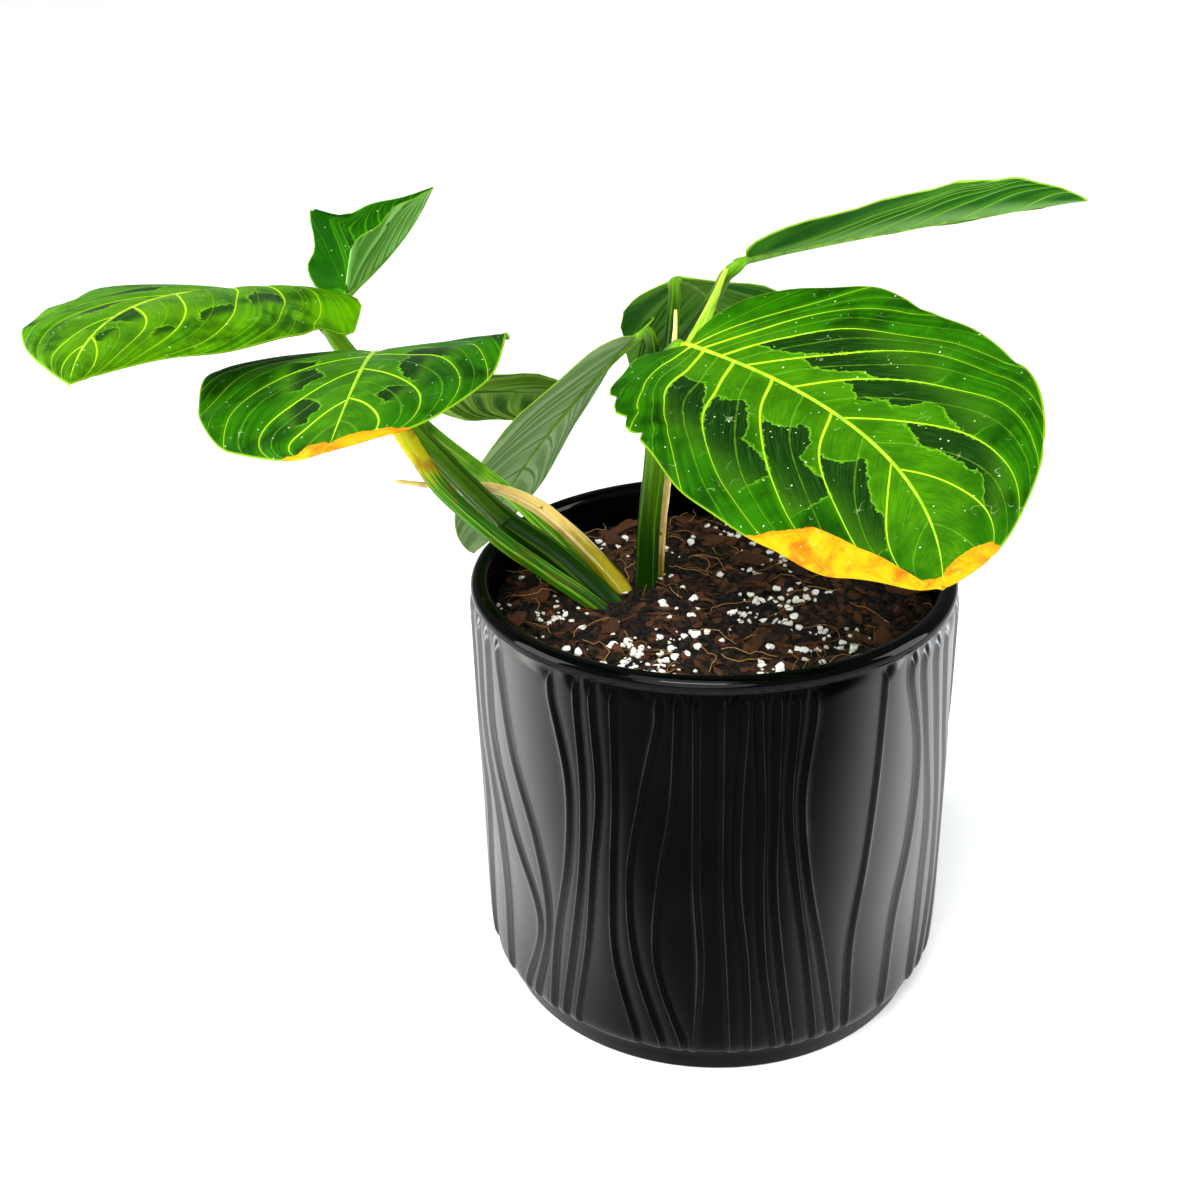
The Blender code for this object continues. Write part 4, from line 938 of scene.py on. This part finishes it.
def potFinish(name, rim):
    # black glaze, smooth on the rim and satin on the wall, where it turns glossier at a slant
    nodes = startMaterial(name, 0.3, 0.024)
    place = nodes.place()
    clouds = nodes.use(mottle, Spacing=0.03, Detail=5.0, Low=0.3, High=0.7)
    pores = nodes.use(specks, Spacing=0.006, Size=0.05, Share=0.22)
    glaze = nodes.layers(tone(0, 0, 1), (clouds, tone(3, 3, 4)), (pores * 0.5, tone(80, 78, 74)))
    grain = nodes.clouds(place, 1500.0, 3.0)
    nodes.shader["Coat Roughness"].default_value = 0.05 if rim else 0.3
    nodes.shader["Coat IOR"].default_value = 1.9 if rim else 2.05
    if rim:
        nodes.shader["Coat Weight"].default_value = 0.07
        return nodes.finish(glaze, clouds.ramp(0.0, 1.0, 0.05, 0.1), grain, 0.00001, 0.1)
    parts = nodes.get("ShaderNodeSeparateXYZ", {0: place})
    height = parts.of("Z")
    # the slant is taken mostly from the plain cylinder, so the laps show as fine lines
    outward = nodes.vector("NORMALIZE", {0: nodes.vector("MULTIPLY", {0: place, 1: (1.0, 1.0, 0.0)})})
    facing = nodes.get("ShaderNodeNewGeometry", output="Normal")
    facing = nodes.get("ShaderNodeMix", {0: 0.3, 4: outward, 5: facing}, 1, data_type="VECTOR")
    facing = nodes.vector("NORMALIZE", {0: facing})
    slant = nodes.get("ShaderNodeLayerWeight", {"Blend": 0.5, "Normal": facing}, "Facing")
    crest = nodes.field("lapCrest") * clouds.ramp(0.0, 0.7, 0.35, 1.0)
    rise = slant.ramp(0.22, 0.66) * slant.ramp(0.8, 0.97, 0.8, 0.35)
    gloss = nodes.calc("MAXIMUM", rise, crest * slant.ramp(0.16, 0.5))
    nodes.feed(gloss * height.ramp(0.0, 0.05, 0.3, 1.0), nodes.shader["Coat Weight"])
    # a painted highlight lightens the glaze on the crests, most of all at the two sides, and the foot ring is
    # bare clay
    paintedCrestHighlight = crest * abs(parts).ramp(0.022, 0.056, 0.3, 1.0)
    foot = 1.0 - height.ramp(0.0002, 0.0006)
    colour = nodes.layers(glaze, (paintedCrestHighlight, tone(70, 70, 71)), (foot, tone(70, 60, 52)))
    satin = clouds.ramp(0.0, 1.0, 0.3, 0.38)
    rough = nodes.get("ShaderNodeMix", {0: foot, 2: satin, 3: 0.8}, data_type="FLOAT")
    return nodes.finish(colour, rough, grain, 0.00005, 0.35)


placePiece(buildPot(potFinish("potWall", False), potFinish("potRim", True)), "pot_ceramic", "pot")
print("pot made")


# Stems and sheaths

stems = {
    # points, radii at the ends
    "left": ([(-20, -2, 99), (-28, 0, 108), (-34, 1.5, 114), (-43, 3.5, 121.5), (-56, 4.5, 131),
              (-68, 6, 143), (-79, 8, 155), (-87, 10.5, 165), (-93, 12.5, 171), (-97, 14, 176),
              (-99, 15, 179.5)], 3.4, 2.3),
    "centre": ([(-18.5, 8, 99), (-17.8, 8.5, 108), (-17, 8.3, 125), (-15, 8, 145), (-14, 8.5, 160),
                (-13, 9.5, 171)], 3.3, 2.6),
    "swell": 0.5, "knee": 0.22, "node": 0.3,   # thicker at the foot, under a blade, at the rounded node
    # the petiole that lies on the left shoot, from its rounded node upwards: path, radii at the ends
    "rider": ([(-54.2, 1.8, 129.6), (-57, 2.2, 132.6), (-67.9, 3.8, 143.8), (-78.8, 5.9, 155.9),
               (-84.6, 7.6, 163.6), (-86.8, 7.8, 169)], 1.95, 1.35),
}
# shoot, points before the blade's base, radii at the ends
petioles = {
    "mid_left": ("left", [(-79, 8, 155), (-84.5, 9.5, 163), (-87, 8.6, 170)], 1.9, 1.2),
    "far_left": ("left", [(-97.5, 14.5, 176.5), (-103, 20, 179.5), (-111.5, 25, 183)], 2.0, 1.2),
    "upper_left": ("left", [(-97, 14, 175), (-98.3, 17, 180)], 1.8, 0.9),
    "front_right": ("centre", [(-13.6, 9, 164), (-12.5, 6, 172)], 2.3, 1.25),
    "top_right": ("centre", [(-13.6, 9, 164), (-9, 12, 173), (-3.5, 14.4, 181), (0.8, 15, 187.5),
                             (3, 14.2, 192)], 2.3, 1.2),
    "hanging": ("centre", [(-14, 8.5, 161), (-14.8, 13, 169), (-15.8, 21, 172)], 2.1, 1.2),
    "back": ("centre", [(-13.6, 9, 164), (-11.5, 14.5, 171), (-10.6, 22, 178), (-10.2, 31, 183.2)],
             2.2, 1.25),
    "behind_left": ("left", [(-70, 6.5, 145), (-79, 9.5, 151), (-87, 15, 154.5), (-91, 21, 154.8)],
                    1.8, 1.2),
}
# points, radii at the ends, thickness over width
sheaths = {
    "sheath_lower": ([(-23, -8, 100), (-29, -6.2, 108.5), (-43, -3.4, 118), (-56, -2.2, 127.5),
                      (-69, -0.6, 139.5), (-76, 1.6, 149), (-80.5, 4, 156)], 2.2, 2.6, 0.55),
    "sheath_winged": ([(-31.5, 11.5, 100), (-33, 11.2, 108.5), (-38, 11, 117), (-46, 12, 125.5),
                       (-57, 13, 136), (-68, 13.4, 145), (-77, 13.6, 153)], 1.6, 2.4, 0.32),
    "sheath_dry_left": ([(-23.6, 5, 100), (-24.4, 5.2, 108.5), (-30, 7.6, 115.5), (-38, 8.8, 124),
                         (-46, 9.4, 131), (-56, 9.8, 136), (-64, 10, 137), (-72, 9.9, 137),
                         (-84, 8.6, 139)], 3.5, 0.6, 0.58),
    "sheath_dry_centre": ([(-14.6, 13, 100), (-14.6, 13.4, 108.5), (-13.4, 13.4, 126), (-12, 13.4, 138),
                           (-10.6, 13.4, 150)], 1.7, 1.0, 0.45),
    "sheath_tip": ([(-9.9, 7.6, 173.2), (-9.6, 8.4, 178), (-9.4, 8.9, 185)], 0.9, 0.4, 0.6),
    "new_leaf": ([(-5.2, 9.4, 175), (-3.2, 9.9, 179.5), (0, 10.2, 187), (3.2, 10.2, 195)],
                 2.4, 0.5, 0.6),
}


def streakMarks(nodes):
    # long streaks and a few crisp ridges that follow a stalk
    around = nodes.get("ShaderNodeAttribute", output="Vector", attribute_name="aroundStalk")
    parts = nodes.get("ShaderNodeSeparateXYZ", {0: around})
    along = nodes.field("alongStalk")
    place = nodes.get("ShaderNodeCombineXYZ", {"X": parts * 2.2, "Y": parts.of("Y") * 2.2, "Z": along * 2.6})
    streaks = nodes.clouds(place, 1.6, 4.0)
    angle = nodes.calc("ARCTAN2", parts.of("Y"), parts) + (streaks - 0.5) * 1.3
    return along, streaks, nodes.calc("COSINE", angle * 4.0).ramp(0.86, 0.99)


def stemFinish(name, dark, light, edge):
    # dark below, paler towards the top
    nodes = startMaterial(name, 0.3, 0.3, 1.25)
    along, streaks, ridges = streakMarks(nodes)
    dots = nodes.use(specks, Spacing=0.004, Size=0.1, Share=0.1)
    colour = nodes.layers(
        dark, (streaks.ramp(0.36, 0.66, 0.0, 0.8), nodes.mix(along.ramp(0.25, 1.0), dark, light)),
        (along.ramp(0.35, 1.0, 0.0, 0.6), light), (ridges * 0.2, edge), (dots * 0.4, tone(150, 130, 60)))
    return nodes.finish(colour, None, streaks + ridges * 0.6, 0.0002)


def sheathFinish(name, tones):
    # its foot, its length and its far end have their own tones
    nodes = startMaterial(name, 0.45, 0.3, 1.25)
    along, streaks, ridges = streakMarks(nodes)
    clouds = nodes.use(mottle, Spacing=0.006, Detail=4.0, Low=0.45, High=0.7)
    dots = nodes.use(specks, Spacing=0.0035, Size=0.2, Share=0.1)
    reach = tones["reach"]
    shift = along + (streaks - 0.5) * 0.3
    colour = nodes.layers(
        tones["dark"], (streaks.ramp(0.4, 0.64), tones["light"]),
        (shift.ramp(reach - 0.1, reach + 0.1, 1.0, 0.0), tones["foot"]),
        (shift.ramp(0.7, 0.84), tones["end"]), (ridges * 0.4, tones["edge"]),
        (clouds * tones["cloudy"], tones["spot"]), (clouds * shift.ramp(0.6, 0.85, 0.0, 0.8), tones["spot"]),
        (dots * 0.7, tones["spot"]))
    return nodes.finish(colour, None, streaks + ridges * 0.5, 0.0003)


def grownTube(points, first, last):
    # a smooth line, the share of it passed at each point, and radii from foot to end
    line = smoothPath(points, 10)
    grow = np.linspace(0, 1, len(line))
    return line, grow, first + (last - first) * grow


def buildShoot(name, shoot, material):
    line, grow, size = grownTube(*stems[shoot])
    lines = [(line, size + stems["swell"] * np.exp(-(6.0 * grow) ** 2))]
    for leafName, (owner, points, first, last) in petioles.items():
        if owner != shoot:
            continue
        base, ahead, _, up = (value[0] for value in leafFrame(leaves[leafName], np.array([0.0])))
        ends = [base - 3.4 * ahead - 1.7 * up, base - 1.2 * ahead - 0.6 * up]
        line, grow, size = grownTube(points + ends, first, last)
        lines.append((line, size + stems["knee"] * np.exp(-((grow - 0.8) / 0.13) ** 2)))
    if shoot == "left":
        line, grow, size = grownTube(*stems["rider"])
        size = size * np.sqrt(np.clip(grow * 16, 0.08, 1))   # its foot is rounded
        size = size + stems["node"] * np.exp(-((grow - 0.07) / 0.04) ** 2)
        lines.append((line, size, 0.4))
    return stalk(name, lines, material, 16, 0.18, 1.0)


def buildSheath(name, material, dry):
    # a flattened, lightly creased shell that follows its path
    points, first, last, flatness = sheaths[name]
    path = smoothPath(points, 9)
    sides = 20
    rough = 0.3 if dry else 0.1
    ringPoints = []
    around = []
    grown = []
    for k, place in enumerate(path):
        ahead = path[min(k + 1, len(path) - 1)] - path[max(k - 1, 0)]
        ahead = ahead / np.linalg.norm(ahead)
        across = np.cross(ahead, (0.0, 1.0, 0.0))
        across = across / np.linalg.norm(across)
        depth = np.cross(across, ahead)
        grow = k / (len(path) - 1)
        size = first + (last - first) * grow
        for side in range(sides):
            a = turn * (side + 0.5) / sides
            crease = noise.noise(Vector((1.6 * math.cos(a), 1.6 * math.sin(a), 7 * grow + first)))
            rib = 1 + 0.05 * math.cos(5 * a) + rough * crease
            around.append((math.cos(a), math.sin(a), 0.0))
            grown.append(grow)
            ringPoints.append(place + size * rib * (math.cos(a) * across + flatness * math.sin(a) * depth))
    piece = newPiece(camel(name), ringPoints, closedFaces(len(path), sides), [material])
    paint(piece, "aroundStalk", around, "FLOAT_VECTOR", "vector")
    paint(piece, "alongStalk", grown)
    return piece


sheathTones = {
    "sheathLower": {"dark": (32, 80, 6), "light": (72, 140, 16), "edge": (170, 214, 64),
                    "foot": (16, 44, 4), "end": (186, 178, 10), "spot": (140, 74, 10),
                    "cloudy": 0.14, "reach": 0.2},
    "sheathWinged": {"dark": (76, 150, 14), "light": (156, 222, 54), "edge": (210, 242, 120),
                     "foot": (24, 62, 4), "end": (104, 170, 30), "spot": (60, 120, 20),
                     "cloudy": 0.1, "reach": 0.22},
    "sheathTan": {"dark": (246, 200, 104), "light": (255, 244, 166), "edge": (255, 250, 206),
                  "foot": (150, 138, 14), "end": (240, 206, 116), "spot": (112, 62, 20),
                  "cloudy": 0.42, "reach": 0.36},
    "newLeafPale": {"dark": (120, 172, 20), "light": (176, 210, 66), "edge": (204, 226, 120),
                    "foot": (124, 180, 26), "end": (170, 206, 60), "spot": (150, 190, 56),
                    "cloudy": 0.1, "reach": 0.1},
}
stemGreen = stemFinish("stemGreen", tone(12, 44, 1), tone(108, 166, 18), tone(126, 180, 46))
sheathKinds = {"sheath_lower": "sheathLower", "sheath_winged": "sheathWinged", "new_leaf": "newLeafPale"}
sheathSlots = {"sheathTan": "sheath_tan", "newLeafPale": "new_leaf"}
sheathFinishes = {kind: sheathFinish(kind, toneSet(tones)) for kind, tones in sheathTones.items()}
for shoot in ("left", "centre"):
    placePiece(buildShoot(camel("shoot_" + shoot), shoot, stemGreen), "stem_green", "shoot_" + shoot)
for name in sheaths:
    kind = sheathKinds.get(name, "sheathTan")
    sheath = buildSheath(name, sheathFinishes[kind], kind == "sheathTan")
    placePiece(sheath, sheathSlots.get(kind, "sheath_green"), name)
print("stems and sheaths made")


# Potting mix

mixShape = {
    "level": 108.7, "radius": 58.15, "floor": 8.35, "rings": 74, "sides": 220,
    # the edge: where it starts and ends, how far it drops, how much calmer it is
    "edge": (50.0, 58.5), "edgeDrop": 0.6, "edgeCalm": 0.6,
    # where crumbs and chips lie: outer radius, rings, points to a ring; stray perlite
    "topRadius": 57.0, "topRings": 30, "topSides": 90, "stray": 0.03,
    # how often they come in a millimetre, height, and which noise
    "lumps": ((0.11, 1.3, 3.0), (0.3, 0.65, 9.0)), "grains": ((0.9, 0.5, 1.0), (2.1, 0.25, 5.0)),
    # perlite gathers here: x, y, spread, strength
    "clusters": (
        (-15.2, -38.4, 4.5, 1.0), (-20.8, -39.5, 3, 0.8), (-20.5, -29.1, 2.5, 0.6), (-12.4, -27.4, 3.5, 0.9),
        (-5, -20.2, 3, 0.8), (-5.6, -27.3, 3, 0.7), (-9.3, -11.6, 2.5, 0.6), (-11.8, -3.6, 2.5, 0.7),
        (-42, -9, 4, 0.8), (-41.4, -15.1, 2.5, 0.6), (12.3, -0.6, 3, 0.9), (6.9, -14.2, 2.5, 0.7),
        (18, -12.2, 3, 0.8), (9.5, -9.4, 2.5, 0.7), (32.1, -27.5, 3.5, 0.8), (35.4, -27.4, 2.5, 0.6),
        (13.8, -37.3, 3, 0.8), (13.6, -44.7, 3.5, 0.8), (-12.6, -42.7, 3, 0.9), (24.6, -29.4, 2.5, 0.7),
        (29.9, -37.8, 2.5, 0.7), (21.1, -0.5, 4.5, 1.0), (28.6, -19.4, 3, 0.7), (-28.1, 11.8, 2.5, 0.7),
        (-13, 28.9, 3, 0.7), (18.6, 24.7, 4, 0.9), (-12.6, -43, 3, 0.6), (-30.6, 37.5, 3, 0.5),
        (11.8, 18.5, 3.5, 0.8), (38, 20, 4, 0.6), (5, 44, 4, 0.6), (-45, 22, 4, 0.5)),
}


def mixHeight(x, y):
    # the uneven surface: rounded lumps, which the edge calms and lowers, and two finer grains
    lumps = 0.0
    fine = 0.0
    for scale, height, layer in mixShape["lumps"]:
        lumps += height * noise.noise(Vector((x * scale, y * scale, layer)))
    for scale, height, layer in mixShape["grains"]:
        fine += height * noise.noise(Vector((x * scale, y * scale, layer)))
    edge = float(smoothStep(math.hypot(x, y), *mixShape["edge"]))
    lumps *= 1 - mixShape["edgeCalm"] * edge
    return mixShape["level"] + lumps - mixShape["edgeDrop"] * edge + fine


def mixFinish(name, dark, light, roughness):
    # each bit has a tone of its own between the two
    nodes = startMaterial(name, roughness, 0.25)
    grain = nodes.clouds(nodes.place(), 900.0, 5.0, Roughness=0.7)
    share = nodes.field("bitTone") * 0.7 + grain * 0.5
    return nodes.finish(nodes.mix(share.ramp(0.4, 1.1), dark, light), None, grain, 0.0006, 0.8)


def vary(nodes, low, high, kind="FLOAT", seed=0):
    # a random value for each spot
    first = {"FLOAT_VECTOR": 0, "FLOAT": 2, "INT": 4}[kind]
    feeds = {first: low, first + 1: high, "Seed": seed}
    return nodes.get("FunctionNodeRandomValue", feeds, first // 2, data_type=kind)


def scattered(nodes, given, density):
    return nodes.get("GeometryNodeDistributePointsOnFaces",
                     {"Mesh": given["Geometry"], "Density": density, "Seed": given["Seed"]})


def laid(nodes, spots, shape, tilt, scale, **choice):
    # the shape at each spot, turned at random; each copy has a tone of its own
    low, high = (-tilt[0], -tilt[1], 0.0), (*tilt, turn)
    spin = nodes.get("FunctionNodeEulerToRotation", {0: vary(nodes, low, high, "FLOAT_VECTOR")})
    copies = nodes.get("GeometryNodeInstanceOnPoints", {"Points": spots, "Instance": shape, "Rotation": spin,
                                                        "Scale": scale, **choice})
    toned = nodes.get("GeometryNodeStoreNamedAttribute",
                      {"Geometry": copies, "Name": "bitTone", "Value": vary(nodes, 0.0, 1.0)},
                      data_type="FLOAT", domain="INSTANCE")
    return nodes.get("GeometryNodeRealizeInstances", {0: toned})


def scatterTree():
    # broken lumps over a surface, in four shapes, thickest where the painted share is high
    nodes, given = startGroup("scatterLumps", {
        "Geometry": "NodeSocketGeometry", "Density": 1000.0, "Smallest": 0.001, "Largest": 0.002,
        "Length": 1.0, "Flatness": 0.8, "Sink": 0.0, "Rough": 0.5, "Seed": 0, "Rounds": 2,
        "Finish": "NodeSocketMaterial"}, "GeometryNodeTree")
    share = nodes.get("GeometryNodeInputNamedAttribute", {"Name": "share"}, data_type="FLOAT")
    spots = scattered(nodes, given, given["Density"] * share)
    shapes = nodes.get("GeometryNodeJoinGeometry")
    for kind in range(4):
        ball = nodes.get("GeometryNodeMeshIcoSphere", {"Radius": 1.0, "Subdivisions": given["Rounds"]})
        where = nodes.get("GeometryNodeInputPosition")
        push = (nodes.clouds(where, 0.9, 2.0, W=3.7 * kind) - 0.5) * given["Rough"]
        move = nodes.vector("SCALE", {0: where, "Scale": push})
        lump = nodes.get("GeometryNodeSetPosition", {"Geometry": ball, "Offset": move})
        nodes.feed(nodes.get("GeometryNodeGeometryToInstance", {0: lump}), shapes.socket.node.inputs[0])
    shape = nodes.get("ShaderNodeCombineXYZ", {"X": given["Length"], "Y": 1.0, "Z": given["Flatness"]})
    scale = nodes.vector("SCALE", {0: shape, "Scale": vary(nodes, given["Smallest"], given["Largest"])})
    lower = nodes.get("ShaderNodeCombineXYZ", {"Z": given["Sink"] * -1.0})
    sunk = nodes.get("GeometryNodeSetPosition", {"Geometry": spots, "Offset": lower})
    real = laid(nodes, sunk, shapes, (0.5, 0.5), scale, **{
        "Pick Instance": True, "Instance Index": vary(nodes, 0, 3, "INT", given["Seed"])})
    return dressed(nodes, real, given["Finish"])


def fibreTree():
    # thin bent roots and coir that lie over the mix
    nodes, given = startGroup("scatterFibres", {
        "Geometry": "NodeSocketGeometry", "Density": 1000.0, "Shortest": 0.004, "Longest": 0.02,
        "Thickness": 0.0002, "Seed": 0, "Finish": "NodeSocketMaterial"}, "GeometryNodeTree")
    strand = nodes.get("GeometryNodeCurveQuadraticBezier", {
        "Resolution": 9, "Start": (-0.5, 0.0, 0.0), "Middle": (0.0, 0.35, 0.25), "End": (0.5, 0.0, 0.02)})
    loose = laid(nodes, scattered(nodes, given, given["Density"]), strand, (0.35, 0.25),
                 vary(nodes, given["Shortest"], given["Longest"]))
    wind = nodes.clouds(nodes.get("GeometryNodeInputPosition"), 160.0, 2.0).of("Color")
    centred = nodes.vector("SUBTRACT", {0: wind, 1: (0.5, 0.5, 0.5)})
    move = nodes.vector("SCALE", {0: centred, "Scale": 0.006})
    bent = nodes.get("GeometryNodeSetPosition", {"Geometry": loose, "Offset": move})
    ring = nodes.get("GeometryNodeCurvePrimitiveCircle", {"Resolution": 4, "Radius": given["Thickness"]})
    tube = nodes.get("GeometryNodeCurveToMesh", {"Curve": bent, "Profile Curve": ring, "Fill Caps": True})
    return dressed(nodes, nodes.get("GeometryNodeSetShadeSmooth", {0: tube}), given["Finish"])


def mixRing(radius, sides, height=None):
    # a ring on the surface of the mix, or at a height
    points = []
    for k in range(sides):
        a = turn * k / sides
        x, y = radius * math.cos(a), radius * math.sin(a)
        points.append((x, y, mixHeight(x, y) if height is None else height))
    return points


def mixTop(name, clusters):
    # the bare upper surface, painted with the share of bits that it carries
    rings, sides = mixShape["topRings"], mixShape["topSides"]
    points = []
    for ring in range(rings):
        points += mixRing(mixShape["topRadius"] * (ring + 0.3) / (rings - 0.7), sides)
    piece = newPiece(name, points, gridFaces(rings, sides, True))
    shares = []
    for x, y, _ in points:
        gathered = mixShape["stray"] if clusters else 1.0
        for cx, cy, spread, strength in clusters:
            gathered += strength * math.exp(-((x - cx) ** 2 + (y - cy) ** 2) / spread ** 2)
        shares.append(min(1.0, gathered))
    paint(piece, "share", shares)
    return piece


def buildMixBed(material):
    radius, floor = mixShape["radius"], mixShape["floor"]
    rings, sides = mixShape["rings"], mixShape["sides"]
    points = []
    for ring in range(rings):
        points += mixRing(radius * (ring + 0.02) / (rings - 0.98), sides)
    points += mixRing(radius, sides, floor + 5.0) + mixRing(radius - 4.0, sides, floor)
    faces = [tuple(reversed(face)) for face in closedFaces(rings + 2, sides)]
    return newPiece("mixBed", points, faces, [material])


lumps = scatterTree()
fibres = fibreTree()
peat = mixFinish("peat", tone(2, 1, 0), tone(36, 20, 8), 0.85)
bark = mixFinish("barkChip", tone(6, 3, 1), tone(84, 46, 22), 0.7)
perlite = mixFinish("perlite", tone(226, 220, 208), tone(255, 254, 250), 0.8)
coir = mixFinish("coir", tone(34, 18, 6), tone(190, 142, 70), 0.7)
placePiece(buildMixBed(peat), "potting_mix", "potting_mix")
# density a square metre, smallest and largest in metres
scatters = {
    "mixCrumbs": {"Density": 620000.0, "Smallest": 0.0003, "Largest": 0.001, "Length": 1.3,
                  "Flatness": 0.7, "Sink": 0.0, "Rough": 1.6, "Seed": 3, "Rounds": 1, "Finish": peat},
    "mixBark": {"Density": 150000.0, "Smallest": 0.0004, "Largest": 0.0015, "Length": 2.0,
                "Flatness": 0.3, "Sink": -0.0002, "Rough": 1.8, "Seed": 8, "Rounds": 1, "Finish": bark},
    "mixFlakes": {"Density": 9000.0, "Smallest": 0.001, "Largest": 0.0024, "Length": 2.2,
                  "Flatness": 0.16, "Sink": -0.0005, "Rough": 2.2, "Seed": 12, "Rounds": 3, "Finish": bark},
    "mixPerlite": {"Density": 300000.0, "Smallest": 0.00025, "Largest": 0.00105, "Length": 1.25,
                   "Flatness": 0.8, "Sink": -0.0006, "Rough": 2.1, "Seed": 5, "Rounds": 2, "Finish": perlite},
    "mixFibres": {"Density": 17000.0, "Shortest": 0.003, "Longest": 0.015, "Thickness": 0.0001, "Seed": 6,
                  "Finish": coir},
}
for name, values in scatters.items():
    surface = mixTop(name, mixShape["clusters"] if name == "mixPerlite" else ())
    placePiece(runNodes(surface, fibres if name == "mixFibres" else lumps, **values), "potting_mix")
print("potting mix made")


# Floor, lights and camera

studio = {
    "surround": 0.34,     # light from the white surround
    # direction, strength, spread in degrees
    "suns": {"keyLight": ((0.25, 0.35, -1.0), 1.5, 45.0), "fillLight": ((0.12, 0.85, -0.5), 2.2, 50.0)},
    # place, the height it aims at, width and height, power, colour
    "softboxes": {"leftSoftbox": ((-0.9, -0.15, 0.35), 0.08, (0.45, 0.7), 9.0, (1.0, 0.97, 0.92)),
                  "rightSoftbox": ((0.9, 0.05, 0.35), 0.08, (0.4, 0.7), 8.0, (0.92, 0.96, 1.0)),
                  "frontSoftbox": ((-0.1, -0.6, 0.9), 0.12, (0.4, 0.06), 5.0, (1.0, 1.0, 1.0))},
    "floorSize": 6000.0,
    # camera: yaw, pitch and roll in radians, place in metres, focal length in photo widths
    "angles": (-0.0792, 0.4575, -0.0291), "place": (0.0, -0.37525, 0.29372), "focal": 1569.85 / 1200,
}


def addLamp(name, kind, direction, place=(0, 0, 0), **settings):
    light = bpy.data.lights.new(name, kind)
    for key, value in settings.items():
        setattr(light, key, value)
    lamp = bpy.data.objects.new(name, light)
    lamp.location = place
    lamp.rotation_euler = Vector(direction).to_track_quat("-Z", "Y").to_euler()
    bpy.context.scene.collection.objects.link(lamp)


def paleFloor():
    nodes = startMaterial("paleFloor", 0.6, 0.2)
    faint = nodes.clouds(nodes.place(), 6.0, 3.0)
    finish = nodes.finish(nodes.mix(faint, (0.93, 0.93, 0.93, 1), (0.95, 0.95, 0.95, 1)))
    size = studio["floorSize"]
    corners = [(-size, -size, 0), (size, -size, 0), (size, size, 0), (-size, size, 0)]
    newPiece("studioFloor", corners, [(0, 1, 2, 3)], [finish])


def sceneCamera():
    yaw, pitch, roll = studio["angles"]
    forward = Vector((math.sin(yaw) * math.cos(pitch), math.cos(yaw) * math.cos(pitch), -math.sin(pitch)))
    flatRight = forward.cross(Vector((0, 0, 1))).normalized()
    flatUp = flatRight.cross(forward)
    right = math.cos(roll) * flatRight + math.sin(roll) * flatUp
    up = math.cos(roll) * flatUp - math.sin(roll) * flatRight
    data = bpy.data.cameras.new("photoCamera")
    data.sensor_width = 36.0
    data.lens = data.sensor_width * studio["focal"]
    data.clip_start = 0.01
    camera = bpy.data.objects.new("photoCamera", data)
    rows = [(*axes, where) for *axes, where in zip(right, up, -forward, studio["place"])]
    camera.matrix_world = Matrix((*rows, (0, 0, 0, 1)))
    bpy.context.scene.collection.objects.link(camera)
    bpy.context.scene.camera = camera


def paleWorld():
    # a white surround to look at, which lights the object more softly than it shows
    world = bpy.data.worlds.new("studioWorld")
    world.use_nodes = True
    nodes = Nodes(world.node_tree)
    background = nodes.tree.nodes["Background"].inputs
    background["Color"].default_value = (1.0, 1.0, 1.0, 1.0)
    seen = nodes.get("ShaderNodeLightPath", output="Is Camera Ray")
    strength = nodes.get("ShaderNodeMix", {0: seen, 2: studio["surround"], 3: 1.0}, data_type="FLOAT")
    nodes.feed(strength, background["Strength"])
    bpy.context.scene.world = world


paleFloor()
sceneCamera()
for name, (direction, power, spread) in studio["suns"].items():
    addLamp(name, "SUN", direction, energy=power, angle=math.radians(spread))
for name, (place, height, (wide, tall), power, colour) in studio["softboxes"].items():
    addLamp(name, "AREA", Vector((0, 0, height)) - Vector(place), place, shape="RECTANGLE", size=wide,
            size_y=tall, energy=power, color=colour)
paleWorld()
bpy.context.scene.view_settings.view_transform = "Standard"
print("stage made")
